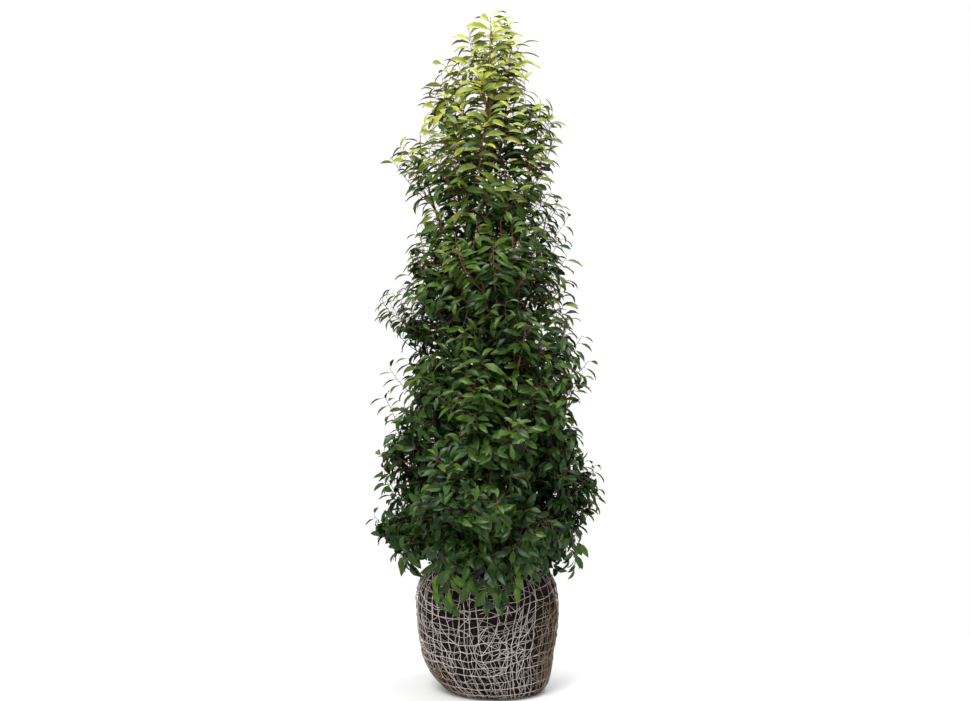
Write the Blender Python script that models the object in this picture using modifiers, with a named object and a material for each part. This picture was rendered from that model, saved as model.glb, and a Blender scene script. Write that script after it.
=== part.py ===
"""A Portugal laurel on its netted root ball, grown as separate named solids.

The plant stands on the flat underside of its root ball, and the origin is on that underside,
below the trunk. Sizes are in metres, +Z is up, and +X is to the right of someone who looks
along +Y. A short trunk carries rising boughs in tiers. Each bough ends where it enters its own
mass of foliage, and each mass keeps to its own cell of the crown.
"""

import math
import random
from collections import namedtuple

import bmesh
import bpy
from mathutils import Matrix, Quaternion, Vector
from mathutils.bvhtree import BVHTree

PLANT_HEIGHT = 2.35
SEED = 11
UP = Vector((0, 0, 1))
GOLDEN_ANGLE = math.radians(137.508)
SHARP_EDGE = math.radians(40)

# Clearance between two solids that meet, and the air kept round a limb by what grows past it.
GAP = 0.0003
LIMB_AIR = 0.0012
BALL_AIR = 0.005
CELL_AIR = 0.0006

# Root ball: an ellipse below its waist, a squarer shoulder above it, and a foot shifted to +X.
BALL_HEIGHT = 0.478
WAIST_HEIGHT = 0.30
BALL_HALF_WIDTH = 0.242
FOOT_HALF_WIDTH = 0.135
FOOT_SHIFT = 0.035
FOOT_SHIFT_HEIGHT = 0.14
SHOULDER_POWER = 2.6
PAD_RADIUS = 0.046
BALL_SIDES = 20
RINGS_BELOW = 4
RINGS_ABOVE = 3
LUMP = 0.012

# Net: a thread along each ring and each side of the ball, from just above the foot to the pad.
THREAD = 0.0040
FIRST_NET_RING = 1

# Trunk, with its flare at the soil, and the boughs that leave it.
TRUNK_SIDES = 8
TRUNK_STEPS = 12
TRUNK_TOP = 1.93
TRUNK_RADIUS = 0.0165
TRUNK_TIP_RADIUS = 0.0052
FLARE_RADIUS = 0.031
FLARE_HEIGHT = 0.07
SWAY_X = 0.016
SWAY_Y = 0.012
LEAN_X = 0.010
BOUGH_SIDES = 5
BOUGH_STEPS = 3
BOUGH_SHARE = 0.33
BOUGH_RADIUS = 0.0078
BOUGH_TO_TRUNK = 0.58
COLLAR = 1.3
FOOT_STAGGER = 0.024
TIP_STAGGER = 0.055
BEARING_DRIFT = 9
BEND_OUT = 0.72
BEND_UP = 0.34
CURVE_STEPS = 24

# Foliage: three-sided stems and twigs, and blades larger than life because they are few.
STEM_STEPS = 4
STEM_RADIUS = 0.0056
STEM_TIP_RADIUS = 0.0032
CENTRE_SHARE = 0.62
LEADER_FOOT = 0.09
LEADER_TIP_LEAF = 0.035
SKIRT_HEIGHT = 0.60
SKIRT_DROOP = 0.75
CREST_DROOP = 0.05
DROOP_RANGE = 1.1
TWIG_TO_STEM = 0.5
TWIG_TIP_RADIUS = 0.0016
TWIGS_ON_STEM = 8
FIRST_TWIG = 0.03
LAST_TWIG = 0.88
LOW_TWIG_LENGTH = 0.145
HIGH_TWIG_LENGTH = 0.100
TWIG_SIZES = (1.0, 0.75, 0.5)
TWIG_ANGLE = math.radians(62)
TWIG_LIFT = 0.28
TWIG_SAG = -0.18
TWIG_ROOM = 0.02
LEAVES_ON_TWIG = 4
FIRST_TWIG_LEAF = 0.3
LEAVES_ON_TIP = 3
FIRST_TIP_LEAF = 0.5
LAST_LEAF = 0.96
LEAF_LENGTH = 0.142
LEAF_HALF_WIDTH = 0.25
LEAF_WIDEST = 0.47
LEAF_ARCH = 0.13
LEAF_FOLD = 0.045
LEAF_DROP = 0.06
LEAF_SPACING = 0.046
LEAF_ANGLE = math.radians(50)
TIP_LEAF_ANGLE = math.radians(17)
LEAF_ROLL = 0.5
LEAF_SIZES = (1.08, 0.95, 0.8)
YOUNG_SIZE = 0.70
YOUNG_HEIGHT = 1.5
YOUNG_RANGE = 0.6
LEAF_TURNS = 4

# Each tier of boughs: how many, the first one's bearing in degrees, the height where they leave
# the trunk, and the height and reach of their tips on the left (-X) and on the right (+X).
Tier = namedtuple("Tier", "name count bearing foot tip_left tip_right reach_left reach_right")
TIERS = (
    Tier("crest", 3, 30, 1.68, 2.07, 2.16, 0.165, 0.095),
    Tier("shoulder", 4, -15, 1.38, 1.83, 1.92, 0.250, 0.185),
    Tier("chest", 4, 25, 1.10, 1.46, 1.56, 0.270, 0.225),
    Tier("waist", 5, 0, 0.86, 1.14, 1.24, 0.290, 0.280),
    Tier("hip", 5, -28, 0.69, 0.86, 0.94, 0.305, 0.295),
    Tier("skirt", 6, 4, 0.56, 0.60, 0.64, 0.325, 0.315),
)

# The crown's reach by height, as pairs from the skirt's hem to the tip.
CROWN = (
    (0.30, 0.30),
    (0.45, 0.35),
    (0.63, 0.42),
    (0.80, 0.39),
    (1.05, 0.375),
    (1.35, 0.355),
    (1.60, 0.30),
    (1.85, 0.325),
    (1.98, 0.26),
    (2.23, 0.17),
    (2.36, 0.06),
)

Colour = namedtuple("Colour", "rgb roughness")
FINISHES = {
    "soil": Colour((0.045, 0.032, 0.026), 0.95),
    "netting": Colour((0.52, 0.46, 0.42), 0.85),
    "bark": Colour((0.12, 0.075, 0.05), 0.85),
    "leaf_crest": Colour((0.20, 0.29, 0.05), 0.45),
    "leaf_flank": Colour((0.07, 0.15, 0.035), 0.42),
    "leaf_skirt": Colour((0.035, 0.095, 0.022), 0.40),
}
LEAF_FINISH = {
    "leader": "leaf_crest",
    "crest": "leaf_crest",
    "shoulder": "leaf_crest",
    "chest": "leaf_flank",
    "waist": "leaf_flank",
    "hip": "leaf_skirt",
    "skirt": "leaf_skirt",
}

Limb = namedtuple("Limb", "name path radii")
Mass = namedtuple("Mass", "name tier stem radii centre droop")


def mix(a, b, share):
    """The value this share of the way from a to b."""
    return a + (b - a) * share


def smooth(share):
    """Eased from 0 to 1, flat at both ends."""
    share = min(1.0, max(0.0, share))
    return share * share * (3 - 2 * share)


def crown_reach(height):
    """How far from the plant's axis foliage may reach at this height."""
    for (low, near), (high, far) in zip(CROWN, CROWN[1:]):
        if low <= height <= high:
            return mix(near, far, (height - low) / (high - low))
    return 0.0


def bezier(start, bend, end, count):
    """Points along a curve from start to end that leans towards bend."""
    made = []
    for i in range(count + 1):
        t = i / count
        made.append(start.lerp(bend, t).lerp(bend.lerp(end, t), t))
    return made


def place_along(path, share):
    """The point at this share of a path, and the path's heading there."""
    place = share * (len(path) - 1)
    i = min(int(place), len(path) - 2)
    return path[i].lerp(path[i + 1], place - i), (path[i + 1] - path[i]).normalized()


def stretch(path, first, last, pieces):
    """The part of a path between two shares of it, in this many pieces."""
    return [place_along(path, mix(first, last, i / pieces))[0] for i in range(pieces + 1)]


def taper(first, last, pieces):
    """Radii that run evenly from the first to the last along this many pieces."""
    return [mix(first, last, i / pieces) for i in range(pieces + 1)]


def clear_scene():
    """Removes what the startup file holds."""
    for thing in list(bpy.data.objects):
        bpy.data.objects.remove(thing, do_unlink=True)


def new_collection(name, shown=True):
    """A collection in the scene. A hidden one holds cutters and pieces still to be joined."""
    made = bpy.data.collections.new(name)
    bpy.context.scene.collection.children.link(made)
    made.hide_render = not shown
    return made


def finish_material(name):
    """A material with this finish's colour and roughness."""
    found = bpy.data.materials.get(name)
    if found:
        return found
    made = bpy.data.materials.new(name)
    made.use_nodes = True
    shader = made.node_tree.nodes["Principled BSDF"]
    shader.inputs["Base Color"].default_value = (*FINISHES[name].rgb, 1)
    shader.inputs["Roughness"].default_value = FINISHES[name].roughness
    return made


def mesh_object(name, shape, collection):
    """An object for a bmesh, which is freed."""
    mesh = bpy.data.meshes.new(name)
    shape.to_mesh(mesh)
    shape.free()
    made = bpy.data.objects.new(name, mesh)
    collection.objects.link(made)
    return made


def tube_profile(sides, collection):
    """A closed outline of one metre radius, which a tube's own radii then scale."""
    name = f"outline_{sides}"
    if name in bpy.data.objects:
        return bpy.data.objects[name]
    curve = bpy.data.curves.new(name, "CURVE")
    spline = curve.splines.new("POLY")
    spline.points.add(sides - 1)
    for i, point in enumerate(spline.points):
        angle = math.tau * i / sides
        point.co = (math.cos(angle), math.sin(angle), 0, 1)
    spline.use_cyclic_u = True
    made = bpy.data.objects.new(name, curve)
    made.hide_render = True
    made.display_type = "WIRE"
    collection.objects.link(made)
    return made


def tube(name, path, radii, sides, collection, helpers):
    """A closed tapering tube along a path, as a mesh object."""
    curve = bpy.data.curves.new(name, "CURVE")
    curve.dimensions = "3D"
    curve.bevel_mode = "OBJECT"
    curve.bevel_object = tube_profile(sides, helpers)
    curve.use_fill_caps = True
    spline = curve.splines.new("POLY")
    spline.points.add(len(path) - 1)
    for point, place, radius in zip(spline.points, path, radii):
        point.co = (*place, 1)
        point.radius = radius
    drawn = bpy.data.objects.new(name, curve)
    collection.objects.link(drawn)
    bpy.context.view_layer.update()
    graph = bpy.context.evaluated_depsgraph_get()
    mesh = bpy.data.meshes.new_from_object(drawn.evaluated_get(graph))
    shape = bmesh.new()
    shape.from_mesh(mesh)
    bmesh.ops.remove_doubles(shape, verts=shape.verts, dist=1e-6)
    bmesh.ops.recalc_face_normals(shape, faces=shape.faces)
    bpy.data.meshes.remove(mesh)
    bpy.data.objects.remove(drawn)
    bpy.data.curves.remove(curve)
    made = mesh_object(name, shape, collection)
    made.data.name = name
    return made


def apply_modifiers(thing):
    """Replaces an object's mesh with its evaluated one."""
    graph = bpy.context.evaluated_depsgraph_get()
    mesh = bpy.data.meshes.new_from_object(thing.evaluated_get(graph))
    thing.modifiers.clear()
    thing.data = mesh


def dress(thing, finish):
    """Gives an object one finish, in place of any that it holds, and smooth shading."""
    thing.data.materials.clear()
    thing.data.materials.append(finish_material(finish))
    thing.data.shade_smooth()
    thing.data.set_sharp_from_angle(angle=SHARP_EDGE)


def ball_rings():
    """(height, half width) of each ring of the root ball, from the foot to the pad."""
    rings = []
    for i in range(RINGS_BELOW + 1):
        angle = math.pi / 2 * i / RINGS_BELOW
        width = mix(FOOT_HALF_WIDTH, BALL_HALF_WIDTH, math.sin(angle))
        rings.append((WAIST_HEIGHT * (1 - math.cos(angle)), width))
    power = 2 / SHOULDER_POWER
    last = math.acos((PAD_RADIUS / BALL_HALF_WIDTH) ** (1 / power))
    for i in range(1, RINGS_ABOVE + 1):
        angle = last * i / RINGS_ABOVE
        rise = math.sin(angle) ** power / math.sin(last) ** power
        height = mix(WAIST_HEIGHT, BALL_HEIGHT, rise)
        rings.append((height, BALL_HALF_WIDTH * math.cos(angle) ** power))
    return rings


def ball_point(height, width, bearing):
    """A point of the root ball's skin, with its lumps and its shifted foot."""
    shift = FOOT_SHIFT * max(0.0, 1 - height / FOOT_SHIFT_HEIGHT) ** 1.5
    swell = 1 + LUMP * math.sin(3 * bearing + 9 * height) * math.sin(math.pi * height / BALL_HEIGHT)
    return Vector((shift + width * swell * math.cos(bearing), width * swell * math.sin(bearing), height))


def ball_shape():
    """The ball as a bmesh: a sphere whose rings take the ball's heights and widths.

    The sphere's poles lie flat in its lowest and highest rings. Also gives each point's ring,
    where the poles count as one ring before the foot and one past the pad.
    """
    rings = ball_rings()
    shape = bmesh.new()
    bmesh.ops.create_uvsphere(shape, u_segments=BALL_SIDES, v_segments=len(rings) + 1, radius=1)
    ring_of = {}
    for point in shape.verts:
        x, y, z = point.co
        ring = round(math.atan2(math.hypot(x, y), -z) / math.pi * (len(rings) + 1)) - 1
        height, width = rings[min(max(ring, 0), len(rings) - 1)]
        at_pole = not 0 <= ring < len(rings)
        point.co = ball_point(height, 0 if at_pole else width, math.atan2(y, x))
        ring_of[point] = ring
    bmesh.ops.recalc_face_normals(shape, faces=shape.faces)
    return shape, ring_of


def build_ball(parts):
    """The soil, flat underneath and flat on the pad that the trunk stands on."""
    shape, ring_of = ball_shape()
    dress(mesh_object("root_ball", shape, parts), "soil")


def build_net(parts):
    """The net: the ball's own rings and sides as threads, just off its skin."""
    shape, ring_of = ball_shape()
    last = max(ring_of.values()) - 1
    bare = [point for point, ring in ring_of.items() if not FIRST_NET_RING <= ring <= last]
    bmesh.ops.delete(shape, geom=bare)
    shape.normal_update()
    away = THREAD / 2 + GAP
    moves = [(point, point.normal * away / face_cosine(point)) for point in shape.verts]
    for point, move in moves:
        point.co += move
    net = mesh_object("ball_net", shape, parts)
    threads = net.modifiers.new("threads", "WIREFRAME")
    threads.thickness = THREAD
    threads.offset = 0
    threads.use_boundary = True
    threads.use_even_offset = True
    threads.use_replace = True
    apply_modifiers(net)
    dress(net, "netting")


def face_cosine(point):
    """How far a point's normal leans from the flattest of its faces, as a cosine."""
    return min(point.normal.dot(face.normal) for face in point.link_faces)


def trunk_point(height):
    """The trunk's axis at this height: upright at the soil, then swaying a little."""
    share = (height - BALL_HEIGHT) / (PLANT_HEIGHT - BALL_HEIGHT)
    free = smooth(share * 5)
    x = LEAN_X * share + SWAY_X * math.sin(math.tau * 1.5 * share)
    y = SWAY_Y * math.sin(math.tau * 1.1 * share)
    return Vector((x * free, y * free, height))


def trunk_radius(height):
    """The trunk's taper, with the flare at its foot."""
    rise = height - BALL_HEIGHT
    flare = (FLARE_RADIUS - TRUNK_RADIUS) * max(0.0, 1 - rise / FLARE_HEIGHT) ** 2
    return flare + mix(TRUNK_RADIUS, TRUNK_TIP_RADIUS, rise / (TRUNK_TOP - BALL_HEIGHT))


def trunk_limb():
    """The trunk from its flat cut on the soil to where it enters the leader."""
    foot = BALL_HEIGHT + GAP
    heights = [foot, foot + FLARE_HEIGHT * 0.35, foot + FLARE_HEIGHT]
    for i in range(1, TRUNK_STEPS - 1):
        heights.append(mix(foot + FLARE_HEIGHT, TRUNK_TOP, i / (TRUNK_STEPS - 2)))
    path = [trunk_point(height) for height in heights]
    return Limb("trunk", path, [trunk_radius(height) for height in heights])


def tier_limb(tier, index, level):
    """One bough and its mass: a path that leaves the trunk outwards and turns up to its tip."""
    chance = random.Random(SEED * 100 + level * 10 + index)
    drift = chance.uniform(-BEARING_DRIFT, BEARING_DRIFT)
    bearing = math.radians(tier.bearing + 360 * index / tier.count + drift)
    side = (1 + math.cos(bearing)) / 2
    foot = tier.foot + FOOT_STAGGER * (index * 2 % tier.count)
    tip = mix(tier.tip_left, tier.tip_right, side) + TIP_STAGGER * (1 - 2 * (index % 2))
    reach = mix(tier.reach_left, tier.reach_right, side)
    outward = Vector((math.cos(bearing), math.sin(bearing), 0))
    start = trunk_point(foot)
    end = outward * reach + UP * tip
    bend = start + outward * reach * BEND_OUT + UP * (tip - foot) * BEND_UP
    path = bezier(start, bend, end, CURVE_STEPS)
    below = stretch(path, 0, BOUGH_SHARE, BOUGH_STEPS)
    above = stretch(path, BOUGH_SHARE, 1, STEM_STEPS)
    heading = (below[-1] - below[-2]).normalized()
    above[0] = below[-1] + heading * GAP
    above[1] = above[0] + heading * (above[1] - above[0]).length
    thick = min(BOUGH_RADIUS, BOUGH_TO_TRUNK * trunk_radius(foot))
    radii = taper(thick, STEM_RADIUS, BOUGH_STEPS)
    radii[0] *= COLLAR
    bough = Limb(f"bough_{tier.name}_{index + 1}", below, radii)
    droop = mix(SKIRT_DROOP, CREST_DROOP, smooth((tip - SKIRT_HEIGHT) / DROOP_RANGE))
    return bough, stem_mass(tier.name, f"_{index + 1}", above, droop)


def stem_mass(tier, number, stem, droop):
    """A mass with this stem. Its centre is a little past the middle of the stem."""
    centre = stem[0].lerp(stem[-1], CENTRE_SHARE)
    radii = taper(STEM_RADIUS, STEM_TIP_RADIUS, STEM_STEPS)
    return Mass(f"foliage_{tier}{number}", tier, stem, radii, centre, droop)


def leader_mass():
    """The mass that carries the trunk on to the plant's tip."""
    top = trunk_point(TRUNK_TOP)
    heading = (top - trunk_point(TRUNK_TOP - LEADER_FOOT)).normalized()
    stem = [top + heading * GAP, top + heading * LEADER_FOOT]
    for i in range(1, STEM_STEPS):
        height = mix(stem[1].z, PLANT_HEIGHT - LEADER_TIP_LEAF, i / (STEM_STEPS - 1))
        stem.append(trunk_point(height))
    return stem_mass("leader", "", stem, 0)


def all_limbs():
    """The trunk, the boughs and the masses of the whole plant."""
    boughs = []
    masses = [leader_mass()]
    for level, tier in enumerate(TIERS):
        for index in range(tier.count):
            bough, mass = tier_limb(tier, index, level)
            boughs.append(bough)
            masses.append(mass)
    return trunk_limb(), boughs, masses


def build_limbs(trunk, boughs, parts, helpers):
    """The trunk, and the boughs cut to sit against it."""
    made = tube(trunk.name, trunk.path, trunk.radii, TRUNK_SIDES, parts, helpers)
    dress(made, "bark")
    air = GAP / math.cos(math.pi / TRUNK_SIDES)
    wide = [radius + air for radius in trunk.radii]
    cutter = tube("trunk_cutter", trunk.path, wide, TRUNK_SIDES, helpers, helpers)
    cutter.hide_render = True
    cutter.display_type = "WIRE"
    for bough in boughs:
        thing = tube(bough.name, bough.path, bough.radii, BOUGH_SIDES, parts, helpers)
        cut = thing.modifiers.new("trunk", "BOOLEAN")
        cut.operation = "DIFFERENCE"
        cut.object = cutter
        apply_modifiers(thing)
        dress(thing, "bark")


def polygons_of(thing):
    """An object's points and faces, for a search tree."""
    points = [vertex.co.copy() for vertex in thing.data.vertices]
    return points, [list(face.vertices) for face in thing.data.polygons]


def search_tree(things):
    """One search tree over several objects, which are then removed."""
    points, faces = [], []
    for thing in things:
        some, rows = polygons_of(thing)
        faces += [[len(points) + i for i in row] for row in rows]
        points += some
        bpy.data.objects.remove(thing)
    return BVHTree.FromPolygons(points, faces)


def swollen(limb, sides, helpers):
    """A limb with the air that is kept round it."""
    radii = [radius + LIMB_AIR for radius in limb.radii]
    return tube(f"air_{limb.name}", limb.path, radii, sides, helpers, helpers)


def swollen_ball(helpers):
    """The root ball with its net and the air over that."""
    shape, ring_of = ball_shape()
    for point in shape.verts:
        point.co += point.normal * (THREAD + BALL_AIR)
    return mesh_object("air_ball", shape, helpers)


def obstacles(trunk, boughs, masses, helpers):
    """What foliage may not touch: the limbs and the ball, and each mass's own stem."""
    limbs = [swollen(trunk, TRUNK_SIDES, helpers), swollen_ball(helpers)]
    limbs += [swollen(bough, BOUGH_SIDES, helpers) for bough in boughs]
    stems = {}
    for mass in masses:
        stem = Limb(mass.name, mass.stem, mass.radii)
        stems[mass.name] = search_tree([swollen(stem, 3, helpers)])
    return search_tree(limbs), stems


def in_cell(point, mass, masses, air):
    """True if a point lies in the mass's own cell of the crown and inside the crown's outline."""
    if math.hypot(point.x, point.y) > crown_reach(point.z) or point.z > PLANT_HEIGHT:
        return False
    near = (point - mass.centre).length_squared
    for other in masses:
        if other is mass:
            continue
        apart = (other.centre - mass.centre).length
        if (point - other.centre).length_squared - near < 2 * apart * air:
            return False
    return True


def leaf_shape(length):
    """A blade of six faces: its root and its tip, with a wide arched middle between them."""
    shape = bmesh.new()
    bmesh.ops.create_cone(shape, cap_ends=True, segments=3, radius1=1, radius2=0, depth=2)
    middle = next(face for face in shape.faces if face.normal.z < -0.9)
    root = bmesh.ops.poke(shape, faces=[middle])["verts"][0]
    tip = max(shape.verts, key=lambda vertex: vertex.co.z)
    left, ridge, right = sorted(set(shape.verts) - {root, tip}, key=lambda vertex: vertex.co.x)
    root.co = (0, 0, 0)
    tip.co = (0, length, -LEAF_DROP * length)
    left.co = (LEAF_HALF_WIDTH * length, LEAF_WIDEST * length, (LEAF_ARCH - LEAF_FOLD) * length)
    right.co = (-LEAF_HALF_WIDTH * length, LEAF_WIDEST * length, (LEAF_ARCH - LEAF_FOLD) * length)
    ridge.co = (0, LEAF_WIDEST * length, LEAF_ARCH * length)
    bmesh.ops.recalc_face_normals(shape, faces=shape.faces)
    return shape


def leaf_frame(root, heading, roll):
    """A matrix that lays a blade from its root along a heading, with its upper face up."""
    across = heading.cross(UP)
    if across.length < 1e-4:
        across = Vector((1, 0, 0))
    across.normalize()
    across = Quaternion(heading, roll) @ across
    upper = across.cross(heading)
    turn = Matrix((across, heading, upper)).transposed().to_4x4()
    return Matrix.Translation(root) @ turn


def turned(heading, angle_out, angle_round):
    """A direction at angle_out from heading, at this angle round it."""
    across = heading.orthogonal().normalized()
    tilted = Quaternion(across, angle_out) @ heading
    return (Quaternion(heading, angle_round) @ tilted).normalized()


class MassGrower:
    """Grows one mass's twigs and leaves from its stem by a seeded rule."""

    def __init__(self, mass, masses, limbs, stems, centres):
        self.mass = mass
        self.masses = masses
        self.limbs = limbs
        self.others = [tree for name, tree in stems.items() if name != mass.name]
        self.centres = centres
        self.chance = random.Random(f"{SEED} {mass.name}")
        self.size = mix(1, YOUNG_SIZE, smooth((mass.centre.z - YOUNG_HEIGHT) / YOUNG_RANGE))
        self.twigs = []
        self.leaves = []
        self.blades = []
        self.fins = []
        blade = leaf_shape(1.0)
        self.points = [vertex.co.copy() for vertex in blade.verts]
        self.faces = [[vertex.index for vertex in face.verts] for face in blade.faces]
        blade.free()

    def touches(self, tree):
        """True if a candidate's search tree meets a limb or another mass's stem."""
        if tree.overlap(self.limbs):
            return True
        return any(tree.overlap(other) for other in self.others)

    def in_own_cell(self, point, air=CELL_AIR):
        """True if a point lies in this mass's cell."""
        return in_cell(point, self.mass, self.masses, air)

    def leaf_fits(self, frame, length, own):
        """True if a blade stays in the cell, off the limbs and off what already grows there."""
        points = [frame @ (point * length) for point in self.points]
        middle = (points[0] + points[-1]) / 2
        if any((middle - other).length < LEAF_SPACING * self.size for other in self.centres):
            return False
        if not all(self.in_own_cell(point) for point in points):
            return False
        tree = BVHTree.FromPolygons(points, self.faces)
        if self.touches(tree) or any(tree.overlap(other) for other in self.blades):
            return False
        if any(tree.overlap(fin) for fin in self.fins if fin is not own):
            return False
        self.blades.append(tree)
        self.centres.append(middle)
        return True

    def varied(self, value, share):
        """The value, more or less by up to this share of it."""
        return value * self.chance.uniform(1 - share, 1 + share)

    def add_leaf(self, root, heading, turn, angle, own):
        """Tries a blade at a few turns and sizes, keeps the first that fits, and says if one did."""
        for size in LEAF_SIZES:
            for attempt in range(LEAF_TURNS):
                length = self.varied(LEAF_LENGTH * size * self.size, 0.07)
                aim = turned(heading, self.varied(angle, 0.2), turn)
                aim -= UP * self.varied(self.mass.droop, 0.35)
                frame = leaf_frame(root, aim.normalized(), self.chance.uniform(-LEAF_ROLL, LEAF_ROLL))
                if self.leaf_fits(frame, length, own):
                    self.leaves.append((frame, length))
                    return True
                turn += math.tau / LEAF_TURNS
        return False

    def leaves_along(self, path, count, first, own):
        """Sets leaves along a path, each a golden angle on from the last, and counts them."""
        turn = self.chance.uniform(0, math.tau)
        kept = 0
        for i in range(count):
            root, heading = place_along(path, mix(first, LAST_LEAF, i / (count - 1)))
            out = TIP_LEAF_ANGLE if i == count - 1 else LEAF_ANGLE
            kept += self.add_leaf(root, heading, turn, out, own)
            turn += GOLDEN_ANGLE
        return kept

    def add_twig(self, root, heading, length, thick):
        """Grows a twig, shortened until its tip has room, and keeps it if it bears leaves."""
        lift = UP * mix(TWIG_LIFT, TWIG_SAG, self.mass.droop)
        for shorter in TWIG_SIZES:
            path = [root, root + (heading + lift) * length * self.size * shorter]
            fin = self.fin(path)
            if not self.in_own_cell(path[-1], TWIG_ROOM * self.size) or self.touches(fin):
                continue
            self.fins.append(fin)
            if self.leaves_along(path, LEAVES_ON_TWIG, FIRST_TWIG_LEAF, fin):
                self.twigs.append((path, thick))
            else:
                self.fins.remove(fin)
            return

    def fin(self, path):
        """A search tree of a thin fin along a twig, to test what it meets."""
        half = Vector((1, 1, 1)) * TWIG_TIP_RADIUS
        points = [path[0] + half, path[1] + half, path[1] - half, path[0] - half]
        return BVHTree.FromPolygons(points, [[0, 1, 2, 3]])

    def grow(self):
        """The whole mass: leaves at the stem's tip, and leafy twigs along the stem."""
        stem = self.mass.stem
        self.leaves_along(stem[-2:], LEAVES_ON_TIP, FIRST_TIP_LEAF, None)
        turn = self.chance.uniform(0, math.tau)
        for i in range(TWIGS_ON_STEM):
            share = mix(FIRST_TWIG, LAST_TWIG, i / (TWIGS_ON_STEM - 1))
            root, heading = place_along(stem, share)
            thick = TWIG_TO_STEM * mix(STEM_RADIUS, STEM_TIP_RADIUS, share)
            aim = turned(heading, TWIG_ANGLE, turn)
            self.add_twig(root, aim, mix(LOW_TWIG_LENGTH, HIGH_TWIG_LENGTH, share), thick)
            turn += GOLDEN_ANGLE


def build_mass(grower, parts, helpers):
    """One solid of a mass: its stem, with its twigs and leaves joined on."""
    mass = grower.mass
    stem = tube(mass.name, mass.stem, mass.radii, 3, parts, helpers)
    pieces = new_collection(f"pieces_{mass.name}", shown=False)
    for i, (path, thick) in enumerate(grower.twigs):
        tube(f"twig_{i}", path, [thick, TWIG_TIP_RADIUS], 3, pieces, helpers)
    for i, (frame, length) in enumerate(grower.leaves):
        blade = mesh_object(f"leaf_{i}", leaf_shape(length), pieces)
        blade.matrix_world = frame
    join = stem.modifiers.new("foliage", "BOOLEAN")
    join.operation = "UNION"
    join.operand_type = "COLLECTION"
    join.collection = pieces
    join.solver = "EXACT"
    bpy.context.view_layer.update()
    apply_modifiers(stem)
    for piece in list(pieces.objects):
        bpy.data.objects.remove(piece)
    bpy.data.collections.remove(pieces)
    dress(stem, LEAF_FINISH[mass.tier])


def main():
    """Builds the ball and its net, the limbs, and then the foliage round them."""
    clear_scene()
    parts = new_collection("portugal_laurel")
    helpers = new_collection("helpers", shown=False)
    build_ball(parts)
    build_net(parts)
    trunk, boughs, masses = all_limbs()
    build_limbs(trunk, boughs, parts, helpers)
    limbs, stems = obstacles(trunk, boughs, masses, helpers)
    centres = []
    for mass in masses:
        grower = MassGrower(mass, masses, limbs, stems, centres)
        grower.grow()
        build_mass(grower, parts, helpers)
        print(mass.name, len(grower.twigs), "twigs", len(grower.leaves), "leaves")


main()
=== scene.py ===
"""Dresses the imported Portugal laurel: bark, twigs, leaves, soil and net round the solids.

Every size is in metres, +Z is up, and the camera looks along +Y. The limbs and the spaces of
the foliage follow the same rule as the solids, so each piece grows where its solid is.
"""

import sys

import logging
import math
import random
from dataclasses import dataclass, field, fields
from enum import Enum
from itertools import product
from typing import Any, Callable, Sequence

import bpy
import numpy as np
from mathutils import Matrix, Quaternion, Vector, noise
from mathutils.bvhtree import BVHTree
from mathutils.kdtree import KDTree


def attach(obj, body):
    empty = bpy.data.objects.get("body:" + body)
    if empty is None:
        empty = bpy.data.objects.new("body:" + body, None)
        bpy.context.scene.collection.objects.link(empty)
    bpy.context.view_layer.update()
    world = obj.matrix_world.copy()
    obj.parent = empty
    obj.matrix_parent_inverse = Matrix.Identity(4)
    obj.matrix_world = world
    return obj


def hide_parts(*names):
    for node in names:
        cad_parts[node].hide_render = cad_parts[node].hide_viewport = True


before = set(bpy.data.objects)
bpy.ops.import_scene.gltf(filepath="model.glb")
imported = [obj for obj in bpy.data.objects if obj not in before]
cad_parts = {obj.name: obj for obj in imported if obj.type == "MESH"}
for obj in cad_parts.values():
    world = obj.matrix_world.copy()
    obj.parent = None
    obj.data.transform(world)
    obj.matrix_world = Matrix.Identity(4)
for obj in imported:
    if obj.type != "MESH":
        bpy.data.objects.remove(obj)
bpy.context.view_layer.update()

LOG = logging.getLogger("laurel")
BODY = "root"
SEED = 11
UP = Vector((0, 0, 1))
SUNNY_SIDE = Vector((-0.3, -0.95, 0.0))
GOLDEN_ANGLE = math.radians(137.508)
PLANT_HEIGHT = 2.35
BALL_HEIGHT = 0.478
NEARLY_UPRIGHT = 0.02
TINY = 1e-12

Array = np.ndarray
Path = list[Vector]
Span = tuple[float, float]
Colour = tuple[float, float, float]
Place = tuple[float, float, float]


def mix(first: Any, last: Any, share: float) -> Any:
    """The value this share of the way from first to last."""
    return first + (last - first) * share


def smooth(share: float) -> float:
    """Eased from 0 to 1, flat at both ends."""
    share = min(1.0, max(0.0, share))
    return share * share * (3 - 2 * share)


def ramp(values: Array, start: float, end: float) -> Array:
    """How far each value is from start, 0, to end, 1, and no further."""
    return ((values - start) / (end - start)).clip(0, 1)


def bezier(start: Vector, bend: Vector, end: Vector, count: int) -> Path:
    """A path of this many steps from start to end that leans towards bend."""
    shares = [i / count for i in range(count + 1)]
    return [start.lerp(bend, t).lerp(bend.lerp(end, t), t) for t in shares]


def place_along(path: Path, share: float) -> tuple[Vector, Vector]:
    """A place on a path.

    Args:
        path: The path's points.
        share: How far along it the place is, from 0 to 1.

    Returns:
        The point, and the path's heading there.
    """
    place = share * (len(path) - 1)
    i = min(int(place), len(path) - 2)
    return path[i].lerp(path[i + 1], place - i), (path[i + 1] - path[i]).normalized()


def sides_of(heading: Vector) -> tuple[Vector, Vector]:
    """Two directions across a heading.

    Args:
        heading: The direction that they are square to.

    Returns:
        The level one, and the one square to it.
    """
    level = heading.cross(UP)
    level = level.normalized() if level.length > NEARLY_UPRIGHT else heading.orthogonal().normalized()
    return level, level.cross(heading)


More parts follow.
